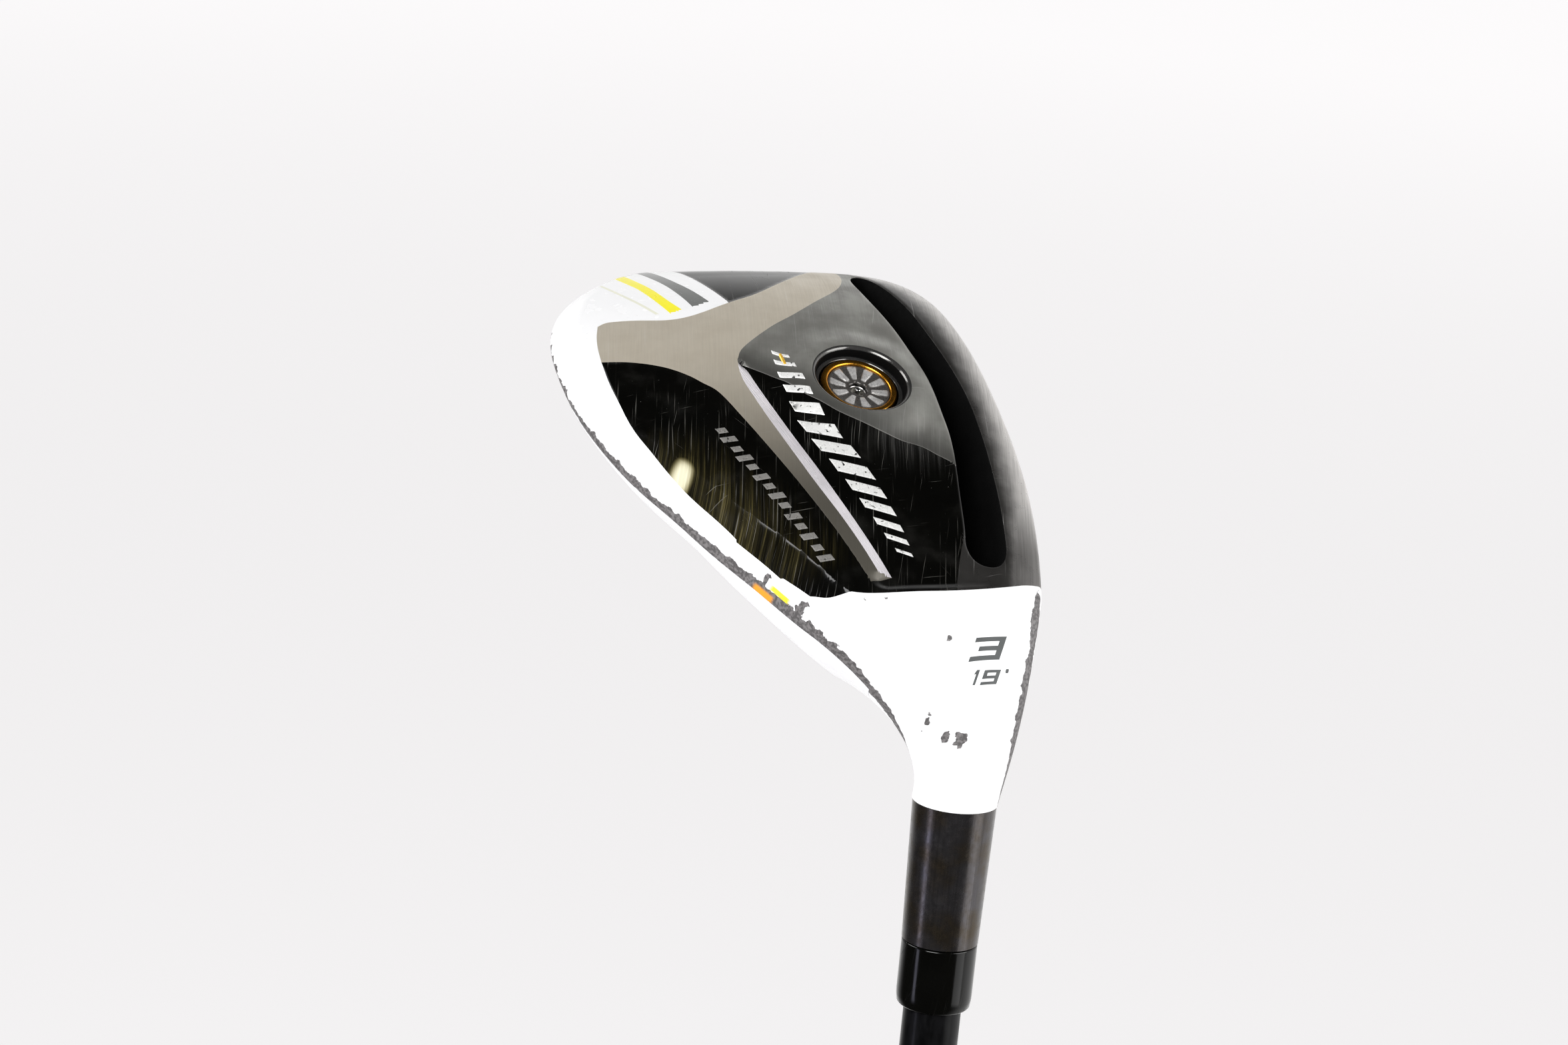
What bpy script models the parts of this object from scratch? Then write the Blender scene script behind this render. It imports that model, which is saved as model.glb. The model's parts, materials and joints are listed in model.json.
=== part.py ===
"""Compact right-handed fairway wood (hybrid head, number 3, 19 degrees), assembled from separate pieces.

Row frame: +Z runs up the shaft from the butt of the grip to the head, +X is the toe side, +Y the
trailing side. The head is modelled in its own frame, x heel to toe, y face to back, z up out of the
sole, with its origin where the shaft axis meets the ground plane. Lengths below are millimetres and
angles degrees, unless a name says so.
"""
import bpy
import bmesh
import numpy as np
from math import cos, sin, tan, pi, radians, sqrt
from mathutils import Vector

MM = 0.001
GAP = 0.3
NECK_GAP = 1.1
EDGE_GAP = 0.45

# Club
CLUB_LENGTH = 1029.0
LIE = 60.0
LOFT = 19.0

# Head outline
TOE_X = 87.5
NECK_X = -2.0
NECK_PIVOT_Z = -43.5
EQUATOR_Y = 17.0
EQUATOR_Z = -17.0
SOLE_CENTRE_X = 36.0
SOLE_CENTRE_Y = 5.0
SOLE_RADIUS_TOE = 230.0
SOLE_RADIUS_HEEL = 200.0
SOLE_RADIUS_BACK = 140.0
SOLE_RADIUS_FRONT = 260.0
LIP_ROLL = 5.0
BAND_WIDTH = 4.2

# Walls
BODY_WALL = 1.8
CROWN_WALL = 0.9
FACE_WALL = 2.2

# Hosel and shaft
HOSEL_RING_R = 6.9
HOSEL_END_R = 6.2
HOSEL_LENGTH = 23.4
BORE_R = 5.0
BORE_START_TAU = 25.0
TIP_R = 4.7
TIP_PARALLEL = 75.0
BUTT_R = 7.6
SHAFT_WALL = 1.3
SHAFT_TIP_S = 33.4
STOPPER_S = (30.6, 33.1)
FERRULE_LENGTH = 11.0
FERRULE_R = 6.15

# Grip
GRIP_LENGTH = 264.0
GRIP_MOUTH_R = 9.9
GRIP_BUTT_R = 13.2
TAPE_LENGTH = 255.0
TAPE_WALL = 0.4
CAP_THICKNESS = 3.2
VENT_R = 1.5

HEEL_BULGE_X = (4.0, 24.0)

# Sole pocket and weight port
SLOT_X = (3.0, 80.0)
SLOT_DEPTH = 7.0
SLOT_WALL = 1.2
PORT_X = 43.5
PORT_Y = 7.6
RECESS_R = 7.6
RECESS_FLOOR = -1.5
COUNTERBORE_R = 6.8
COUNTERBORE_FLOOR = -6.1
THREAD_R = 4.0
THREAD_CLEARANCE = 0.35
BOSS_R = 8.0
BOSS_END = -13.5
SCREW_HEAD_R = 6.4
SCREW_HEAD = (-4.7, -2.6)
SCREW_END = -12.2
BEZEL_R = (5.45, 6.4)
BEZEL_Z = (-2.3, -1.2)
MEDALLION_R = 5.1
SEAL_R = 5.3
SEAL_TUBE_R = 0.45
HUB_R = 1.75
SOCKET_FLATS = 2.5

# Hot-melt pad inside the sole, in rings and sole points of the skin
PAD_RINGS = (12, 20)
PAD_POINTS = (12, 16)
PAD_THICKNESS = 2.6

# Mesh densities
RINGS_HEAD = 26
RINGS_NECK = 11
CROWN_STEPS = 12
FACE_STEPS = 6
SOLE_STEPS = 18
TOE_RINGS = 4
CROWN_END_RING = RINGS_HEAD + 3
FACE_END_RING = RINGS_HEAD - 3
ROUND = 40
SLOT_SECTIONS = 18

LIE_RAD = radians(LIE)
SHAFT_DIR = np.array([cos(LIE_RAD), 0.0, sin(LIE_RAD)])
PIVOT = np.array([NECK_X, 0.0, NECK_PIVOT_Z])
RING_S = -float(PIVOT @ SHAFT_DIR)
HOSEL_END_S = RING_S + HOSEL_LENGTH


def lerp(a, b, t):
    return a + (b - a) * t


def curve(xs, ys, x):
    """Smooth curve through the points (xs, ys), read at x."""
    xs = np.array(xs, float)
    ys = np.array(ys, float)
    slope = np.gradient(ys, xs)
    x = np.clip(x, xs[0], xs[-1])
    i = np.clip(np.searchsorted(xs, x) - 1, 0, len(xs) - 2)
    h = xs[i + 1] - xs[i]
    t = (x - xs[i]) / h
    start = (2 * t**3 - 3 * t**2 + 1) * ys[i] + (t**3 - 2 * t**2 + t) * h * slope[i]
    return float(start + (-2 * t**3 + 3 * t**2) * ys[i + 1] + (t**3 - t**2) * h * slope[i + 1])


def toe_closing(x, power, start):
    """1 along the head, falling to 0 at the toe tip like a superellipse."""
    xi = min(max((x - start) / (TOE_X - start), 0.0), 1.0)
    return (1 - xi**power) ** (1 / power)


def close_y(y, x, power, start):
    return EQUATOR_Y + (y - EQUATOR_Y) * toe_closing(x, power, start)


def close_z(z, x):
    return EQUATOR_Z + (z - EQUATOR_Z) * toe_closing(x, 2.4, 50.0)


def back_edge(x):
    """Edge where the sole band meets the crown."""
    y = curve([-17, -8, 0, 8, 16, 24, 32, 40, 50, 60, 90],
              [13, 19.5, 26, 31.5, 37.5, 42.5, 47.3, 50.6, 53.2, 54, 54], x)
    z = curve([-17, -8, 8, 30, 60, 90], [-14, -13, -12.4, -12.3, -13, -14], x)
    return close_y(y, x, 2.5, 56.0), close_z(z, x)


def leading_edge(x):
    y = curve([-8, 0, 8, 16, 27, 39, 52, 65, 90],
              [-10.6, -12.8, -14.6, -16.0, -17.2, -17.7, -17.6, -16.8, -15], x)
    z = curve([-8, 3, 16, 36, 56, 70, 90], [-6.5, -4.5, -3.0, -2.4, -2.9, -4.2, -6.5], x)
    return close_y(y, x, 3.0, 60.0), close_z(z, x)


def top_line(x):
    """Edge where the face meets the crown, set back by the loft."""
    z = close_z(curve([-8, 0, 16, 36, 56, 90], [-25.5, -27, -30.5, -33.5, -34.5, -34], x), x)
    y_low, z_low = leading_edge(x)
    return y_low + (z_low - z) * tan(radians(LOFT)), z


def plain_sole(x, y):
    """Height of the cambered sole without its rolled edges."""
    radius_x = SOLE_RADIUS_TOE if x > SOLE_CENTRE_X else SOLE_RADIUS_HEEL
    radius_y = SOLE_RADIUS_BACK if y > SOLE_CENTRE_Y else SOLE_RADIUS_FRONT
    z = -(x - SOLE_CENTRE_X) ** 2 / (2 * radius_x) - (y - SOLE_CENTRE_Y) ** 2 / (2 * radius_y)
    return close_z(z, x)


def sole_height(x, y):
    """Height of the finished sole: camber, rolled leading edge and rising back band."""
    y_low, z_low = leading_edge(x)
    y_back, z_back = back_edge(x)
    z = plain_sole(x, y)
    roll = 1 - min(max((y - y_low) / LIP_ROLL, 0.0), 1.0)
    rise = min(max(1 - (y_back - y) / BAND_WIDTH, 0.0), 1.0)
    z -= (plain_sole(x, y_low) - z_low) * roll**2
    z -= (plain_sole(x, y_back) - z_back) * rise**1.35
    return z


def crown_handle(x):
    """Where the crown heads for as it leaves the back edge: outwards at the heel, straight up further on."""
    share = min(max((x - HEEL_BULGE_X[0]) / (HEEL_BULGE_X[1] - HEEL_BULGE_X[0]), 0.0), 1.0)
    share = share * share * (3 - 2 * share)
    return lerp(2.4, 0.0, share) * toe_closing(x, 2.5, 56.0), lerp(7.0, 4.5, share) * toe_closing(x, 2.4, 50.0)


def head_section(x):
    """One loop of the head skin at x: back edge, crown, top line, face, leading edge, sole."""
    y_back, z_back = back_edge(x)
    y_top, z_top = top_line(x)
    y_low, z_low = leading_edge(x)
    close = toe_closing(x, 2.4, 50.0)
    out, rise = crown_handle(x)
    handles = [(y_back, z_back),
               (y_back + out, z_back - rise),
               (lerp(y_back, y_top, 0.42), z_top - 4.0 * close),
               (y_top, z_top)]
    loop = []
    for i in range(CROWN_STEPS):
        t = i / CROWN_STEPS
        weights = [(1 - t) ** 3, 3 * (1 - t) ** 2 * t, 3 * (1 - t) * t * t, t**3]
        y = sum(w * h[0] for w, h in zip(weights, handles))
        z = sum(w * h[1] for w, h in zip(weights, handles))
        loop.append((x, y, z))
    for i in range(FACE_STEPS):
        t = i / FACE_STEPS
        loop.append((x, lerp(y_top, y_low, t), lerp(z_top, z_low, t)))
    for i in range(SOLE_STEPS):
        y = lerp(y_low, y_back, i / SOLE_STEPS)
        loop.append((x, y, sole_height(x, y)))
    return np.array(loop)


def loop_angles():
    """Angle round the hosel of each point of a loop, so that sections and hosel circles match."""
    spans = [(CROWN_STEPS, 25.0, 130.0), (FACE_STEPS, 155.0, 50.0), (SOLE_STEPS, 205.0, 180.0)]
    angles = []
    for count, start, sweep in spans:
        angles += [radians(start + sweep * i / count) for i in range(count)]
    return np.array(angles)


def neck_plane(tau):
    """Directions out of the pivot line, in the section plane and normal to it."""
    outward = np.array([-sin(tau), 0.0, cos(tau)])
    normal = np.array([cos(tau), 0.0, sin(tau)])
    return outward, normal


def hosel_circle(s, radius):
    """Points round the shaft axis at distance s from the ground point."""
    angles = loop_angles()
    side = np.array([sin(LIE_RAD), 0.0, -cos(LIE_RAD)])
    centre = -s * SHAFT_DIR
    return np.array([centre + radius * (cos(a) * np.array([0, 1, 0]) + sin(a) * side) for a in angles])


def skin_rings():
    """Outer rings of the head, from the toe tip to the end of the hosel."""
    rings = []
    for i in range(RINGS_HEAD):
        u = lerp(0.06, 1.0, i / (RINGS_HEAD - 1))
        rings.append(head_section(TOE_X - (TOE_X - NECK_X) * (1 - cos(u * pi / 2))))
    base = rings[-1]
    angles = loop_angles()
    centre_r = sqrt(float(PIVOT @ PIVOT) - RING_S**2)
    for i in range(1, RINGS_NECK + 1):
        t = i / RINGS_NECK
        outward, _ = neck_plane(LIE_RAD * t)
        blend_y = 1 - (1 - t) ** 1.9 * (1 - 0.3 * t)
        blend_r = 1 - (1 - t) ** 1.25
        y = lerp(base[:, 1], HOSEL_RING_R * np.cos(angles), blend_y)
        r = lerp(base[:, 2] - NECK_PIVOT_Z, centre_r - HOSEL_RING_R * np.sin(angles), blend_r)
        ring = PIVOT + r[:, None] * outward
        ring[:, 1] += y
        rings.append(ring)
    for share in (0.25, 0.6, 1.0):
        radius = lerp(HOSEL_RING_R - 0.1, HOSEL_END_R, share)
        rings.append(hosel_circle(RING_S + HOSEL_LENGTH * share, radius))
    return np.array(rings)


def ring_normals(rings):
    """Outward unit normals of the skin at each ring point."""
    along = np.gradient(rings, axis=0)
    around = (np.roll(rings, -1, axis=1) - np.roll(rings, 1, axis=1)) / 2
    normal = np.cross(along, around)
    normal /= np.linalg.norm(normal, axis=2, keepdims=True)
    centre = rings.mean(axis=1, keepdims=True)
    if (normal * (rings - centre)).sum() < 0:
        normal = -normal
    tip = np.array([1.0, 0.0, 0.0])
    for i, share in ((0, 0.75), (1, 0.3)):
        blended = lerp(normal[i], tip, share)
        normal[i] = blended / np.linalg.norm(blended, axis=1, keepdims=True)
    return normal


def body_inner_rings(rings, normals):
    """Inner wall of the casting: the skin set in by its wall, narrowing to the shaft bore in the neck."""
    inner = rings - BODY_WALL * normals
    angles = loop_angles()
    side = np.array([sin(LIE_RAD), 0.0, -cos(LIE_RAD)])
    for k in range(RINGS_HEAD, len(rings)):
        step = k - RINGS_HEAD + 1
        if step > RINGS_NECK:
            centre_s = RING_S + (HOSEL_LENGTH * (0.25, 0.6, 1.0)[step - RINGS_NECK - 1])
            inner[k] = hosel_circle(centre_s, BORE_R)
            continue
        tau = LIE_RAD * step / RINGS_NECK
        outward, normal = neck_plane(tau)
        for j, a in enumerate(angles):
            offset = BORE_R * (cos(a) * np.array([0, 1, 0]) + sin(a) * side)
            s = float((offset - PIVOT) @ normal) / float(SHAFT_DIR @ normal)
            on_bore = offset - s * SHAFT_DIR
            share = min(tau / radians(BORE_START_TAU), 1.0)
            inner[k, j] = lerp(inner[k, j], on_bore, share**0.8)
    return inner


def new_object(name, mesh, parent, material):
    """Link one sub-part and place it under its parent."""
    obj = bpy.data.objects.new(name, mesh)
    bpy.context.scene.collection.objects.link(obj)
    if parent is not None:
        obj.parent = parent
    if material is not None:
        mesh.materials.append(material)
    return obj


def mesh_from(name, vertices, faces, smooth_angle=35.0):
    """Mesh in metres from millimetre points, faces turned outward and shaded smooth."""
    mesh = bpy.data.meshes.new(name)
    mesh.from_pydata([tuple(float(c) * MM for c in v) for v in vertices], [], [list(f) for f in faces])
    bm = bmesh.new()
    bm.from_mesh(mesh)
    bmesh.ops.recalc_face_normals(bm, faces=bm.faces)
    if bm.calc_volume(signed=True) < 0:
        bmesh.ops.reverse_faces(bm, faces=bm.faces)
    bm.to_mesh(mesh)
    bm.free()
    mesh.shade_smooth()
    mesh.set_sharp_from_angle(angle=radians(smooth_angle))
    return mesh


def thick_patch(name, outer, inner, inside, cap_first=False):
    """Closed solid between two ring grids, over the quads where inside(ring, point) is true."""
    rings, points = outer.shape[:2]
    total = rings * points
    faces = []
    edges = {}
    quads = [(i, j) for i in range(rings - 1) for j in range(points) if inside(i, j)]
    for i, j in quads:
        k = (j + 1) % points
        quad = [i * points + j, (i + 1) * points + j, (i + 1) * points + k, i * points + k]
        faces.append(quad)
        faces.append([v + total for v in reversed(quad)])
        for a, b in zip(quad, quad[1:] + quad[:1]):
            edges[(a, b)] = True
    vertices = [tuple(p) for p in outer.reshape(-1, 3)] + [tuple(p) for p in inner.reshape(-1, 3)]
    if cap_first:
        for base, reverse in ((0, False), (total, True)):
            source = outer if base == 0 else inner
            vertices.append(tuple(source[0].mean(axis=0)))
            hub = len(vertices) - 1
            for j in range(points):
                k = (j + 1) % points
                tri = [base + j, hub, base + k] if reverse else [base + k, hub, base + j]
                faces.append(tri)
                if base == 0:
                    edges[(j, k)] = True
    for a, b in list(edges):
        if (b, a) not in edges:
            faces.append([b, a, a + total, b + total])
    used = sorted({v for f in faces for v in f})
    renumber = {v: n for n, v in enumerate(used)}
    return mesh_from(name, [vertices[v] for v in used], [[renumber[v] for v in f] for f in faces])


def pulled_in(rings, ring_span, point_span):
    """Copy of the skin whose patch border is drawn in by the assembly gap."""
    grid = rings.copy()
    moves = [(0, ring_span[0], ring_span[0] + 1, GAP), (0, ring_span[1], ring_span[1] - 1, NECK_GAP),
             (1, point_span[0], point_span[0] + 1, EDGE_GAP), (1, point_span[1], point_span[1] - 1, EDGE_GAP)]
    for axis, edge, inward, gap in moves:
        here = rings[edge] if axis == 0 else rings[:, edge]
        there = rings[inward] if axis == 0 else rings[:, inward]
        step = there - here
        length = np.linalg.norm(step, axis=1, keepdims=True)
        shift = step / np.maximum(length, 1e-6) * np.minimum(gap, 0.45 * length)
        if axis == 0:
            grid[edge] += shift
        else:
            grid[:, edge] += shift
    return grid


def skin_patch(name, rings, normals, ring_span, point_span, outer_depth, inner_depth):
    """Shell piece that follows the skin over a block of rings and points."""
    grid = pulled_in(rings, ring_span, point_span)

    def inside(i, j):
        return ring_span[0] <= i < ring_span[1] and point_span[0] <= j < point_span[1]

    return thick_patch(name, grid - outer_depth * normals, grid - inner_depth * normals, inside)


def turned(name, profile, segments=ROUND, centre=(0.0, 0.0), smooth_angle=35.0):
    """Solid of revolution about z from a closed (radius, z) outline; radius 0 closes on the axis."""
    vertices = []
    loops = []
    for radius, z in profile:
        if radius <= 0:
            vertices.append((centre[0], centre[1], z))
            loops.append([len(vertices) - 1])
            continue
        loop = []
        for i in range(segments):
            a = 2 * pi * i / segments
            vertices.append((centre[0] + radius * cos(a), centre[1] + radius * sin(a), z))
            loop.append(len(vertices) - 1)
        loops.append(loop)
    faces = []
    closed = list(zip(loops, loops[1:] + loops[:1]))
    for a, b in closed:
        if len(a) == 1 and len(b) == 1:
            continue
        for i in range(segments):
            k = (i + 1) % segments
            if len(a) == 1:
                faces.append([a[0], b[i], b[k]])
            elif len(b) == 1:
                faces.append([a[i], b[0], a[k]])
            else:
                faces.append([a[i], b[i], b[k], a[k]])
    return mesh_from(name, vertices, faces, smooth_angle)


def prism(name, sections):
    """Closed solid through matching outlines, capped at both ends."""
    count = len(sections[0])
    vertices = [p for section in sections for p in section]
    faces = []
    for i in range(len(sections) - 1):
        for j in range(count):
            k = (j + 1) % count
            faces.append([i * count + j, i * count + k, (i + 1) * count + k, (i + 1) * count + j])
    faces.append(list(range(count)))
    last = (len(sections) - 1) * count
    faces.append([last + j for j in reversed(range(count))])
    return mesh_from(name, vertices, faces)


def slot_middle(x):
    """Middle line and half width of the sole pocket at x."""
    back = curve([3, 5, 8, 15, 27, 36, 45, 57, 68, 76, 80],
                 [-3.4, -1.3, -0.9, -2.1, -4.1, -4.75, -4.6, -3.4, -2.1, -2.1, -4.0], x)
    front = curve([3, 5.5, 9, 18, 30, 40, 48, 57, 66, 74, 80],
                  [-5.2, -7.1, -8.0, -9.3, -10.4, -10.8, -10.3, -9.2, -8.4, -7.3, -5.4], x)
    return (back + front) / 2, (back - front) / 2


def slot_solid(name, margin, top_cut, bottom_extra):
    """Swept pocket leaning back with the face; top_cut None leaves it open through the sole."""
    lean = tan(radians(LOFT))
    sections = []
    first = SLOT_X[0] - margin
    last = SLOT_X[1] + margin
    for i in range(SLOT_SECTIONS + 1):
        x = lerp(first, last, (1 - cos(pi * i / SLOT_SECTIONS)) / 2)
        inside_x = min(max(x, SLOT_X[0]), SLOT_X[1])
        middle, half = slot_middle(inside_x)
        half += margin
        surface = plain_sole(min(x, 80.0), middle)
        top = 4.0 if top_cut is None else surface - top_cut
        bottom = surface - SLOT_DEPTH * min(1.0, half / 2.2) - bottom_extra
        chamfer = min(1.0, 0.4 * half)
        flat = half - chamfer
        outline = [(-half, top), (half, top), (half, bottom + chamfer), (flat, bottom),
                   (-flat, bottom), (-half, bottom + chamfer)]
        sections.append([(x, middle + y + (surface - z) * lean, z) for y, z in outline])
    return prism(name, sections)


def hexagon(name, across_flats, z_low, z_high, centre=(0.0, 0.0)):
    radius = across_flats / sqrt(3)
    outline = [(centre[0] + radius * cos(pi * i / 3), centre[1] + radius * sin(pi * i / 3)) for i in range(6)]
    return prism(name, [[(x, y, z) for x, y in outline] for z in (z_low, z_high)])


def cut(target, cutter_mesh, parent, operation="DIFFERENCE"):
    """Boolean with a hidden helper that shares the target's parent."""
    cutter = new_object(cutter_mesh.name, cutter_mesh, parent, None)
    cutter.hide_render = True
    cutter.display_type = "WIRE"
    modifier = target.modifiers.new(cutter_mesh.name, "BOOLEAN")
    modifier.operation = operation
    modifier.solver = "EXACT"
    modifier.object = cutter


def material(name, colour, roughness, metallic):
    mat = bpy.data.materials.new(name)
    mat.use_nodes = True
    shader = mat.node_tree.nodes["Principled BSDF"]
    shader.inputs["Base Color"].default_value = (*colour, 1.0)
    shader.inputs["Roughness"].default_value = roughness
    shader.inputs["Metallic"].default_value = metallic
    return mat


def empty(name, parent=None, location=(0.0, 0.0, 0.0), tilt=0.0):
    obj = bpy.data.objects.new(name, None)
    bpy.context.scene.collection.objects.link(obj)
    obj.parent = parent
    obj.location = Vector(location) * MM
    obj.rotation_euler = (0.0, tilt, 0.0)
    return obj


def build_head(head_frame):
    """Casting, crown, face, damping pad and hosel stopper."""
    rings = skin_rings()
    normals = ring_normals(rings)
    inner = body_inner_rings(rings, normals)
    crown_span = (0, CROWN_STEPS - 1)
    face_span = (CROWN_STEPS + 1, CROWN_STEPS + FACE_STEPS - 1)

    def is_casting(i, j):
        in_crown = TOE_RINGS <= i < CROWN_END_RING and crown_span[0] <= j < crown_span[1]
        in_face = TOE_RINGS + 1 <= i < FACE_END_RING and face_span[0] <= j < face_span[1]
        return not (in_crown or in_face)

    casting = material("white_paint_on_steel", (0.86, 0.86, 0.85), 0.3, 0.0)
    casting_mesh = thick_patch("head_body", rings, inner, is_casting, True)
    body = new_object("head_body", casting_mesh, head_frame, casting)
    cut(body, slot_solid("slot_trough", SLOT_WALL, 0.9, SLOT_WALL), head_frame, "UNION")
    port = (PORT_X, PORT_Y)
    boss = [(0, BOSS_END), (BOSS_R, BOSS_END), (BOSS_R, -1.0), (0, -1.0)]
    cut(body, turned("port_boss", boss, centre=port), head_frame, "UNION")
    cut(body, slot_solid("slot_opening", 0.0, None, 0.0), head_frame)
    thread = THREAD_R + THREAD_CLEARANCE
    port_hole = [(0, 4.0), (RECESS_R, 4.0), (RECESS_R, RECESS_FLOOR), (COUNTERBORE_R, RECESS_FLOOR),
                 (COUNTERBORE_R, COUNTERBORE_FLOOR), (thread, COUNTERBORE_FLOOR),
                 (thread, BOSS_END - 2.0), (0, BOSS_END - 2.0)]
    cut(body, turned("port_hole", port_hole, centre=port), head_frame)

    crown_rings = (TOE_RINGS, CROWN_END_RING)
    crown_mesh = skin_patch("crown_shell", rings, normals, crown_rings, crown_span, 0.0, CROWN_WALL)
    new_object("crown_shell", crown_mesh, head_frame, material("white_crown", (0.88, 0.88, 0.87), 0.3, 0.0))
    face_rings = (TOE_RINGS + 1, FACE_END_RING)
    face_mesh = skin_patch("face_insert", rings, normals, face_rings, face_span, 0.0, FACE_WALL)
    new_object("face_insert", face_mesh, head_frame, material("black_face", (0.02, 0.02, 0.022), 0.45, 0.6))

    sole_start = CROWN_STEPS + FACE_STEPS
    pad_points = (sole_start + PAD_POINTS[0], sole_start + PAD_POINTS[1])
    pad_depth = BODY_WALL + GAP
    pad_mesh = skin_patch("damping_pad", rings, normals, PAD_RINGS, pad_points,
                          pad_depth, pad_depth + PAD_THICKNESS)
    new_object("damping_pad", pad_mesh, head_frame, material("hot_melt", (0.75, 0.62, 0.35), 0.5, 0.0))


def build_weight(port_frame):
    """Screw-in sole weight with its bezel, medallion and seal, all turned about the port axis."""
    steel = material("plated_steel", (0.62, 0.62, 0.6), 0.28, 1.0)
    screw_outline = [(0, SCREW_END), (THREAD_R - 0.7, SCREW_END), (THREAD_R, SCREW_END + 0.7),
                     (THREAD_R, SCREW_HEAD[0]), (SCREW_HEAD_R, SCREW_HEAD[0]), (SCREW_HEAD_R, SCREW_HEAD[1]),
                     (0, SCREW_HEAD[1])]
    screw = new_object("weight_screw", turned("weight_screw", screw_outline), port_frame, steel)
    cut(screw, hexagon("screw_socket", SOCKET_FLATS, SCREW_HEAD[1] - 2.0, 1.0), port_frame)

    gold = material("gold_anodised", (0.85, 0.55, 0.12), 0.3, 1.0)
    low, high = BEZEL_Z
    inner_r, outer_r = BEZEL_R
    bezel_outline = [(inner_r, low), (outer_r, low), (outer_r, high - 0.3), (outer_r - 0.3, high),
                     (inner_r + 0.25, high), (inner_r, high - 0.4)]
    new_object("weight_bezel", turned("weight_bezel", bezel_outline), port_frame, gold)

    disc_outline = [(0, low), (MEDALLION_R, low), (MEDALLION_R, high - 0.35),
                    (MEDALLION_R - 0.5, high - 0.35), (HUB_R, low + 0.35), (0, low + 0.35)]
    disc = new_object("weight_medallion", turned("weight_medallion", disc_outline), port_frame,
                      material("polished_medallion", (0.78, 0.77, 0.74), 0.2, 1.0))
    cut(disc, hexagon("medallion_socket", SOCKET_FLATS, low - 1.0, 1.0), port_frame)

    seal_z = (SCREW_HEAD[0] + COUNTERBORE_FLOOR) / 2
    seal_outline = [(SEAL_R + SEAL_TUBE_R * cos(a), seal_z + SEAL_TUBE_R * 0.85 * sin(a))
                    for a in np.linspace(0, 2 * pi, 10, endpoint=False)]
    new_object("weight_seal", turned("weight_seal", seal_outline), port_frame,
               material("seal_rubber", (0.02, 0.02, 0.02), 0.7, 0.0))


def shaft_radius(s):
    """Outer radius of the shaft at distance s from the ground point."""
    start = SHAFT_TIP_S + TIP_PARALLEL
    end = CLUB_LENGTH - CAP_THICKNESS
    return lerp(TIP_R, BUTT_R, min(max((s - start) / (end - start), 0.0), 1.0))


def shaft_z(s):
    return CLUB_LENGTH - s


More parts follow.
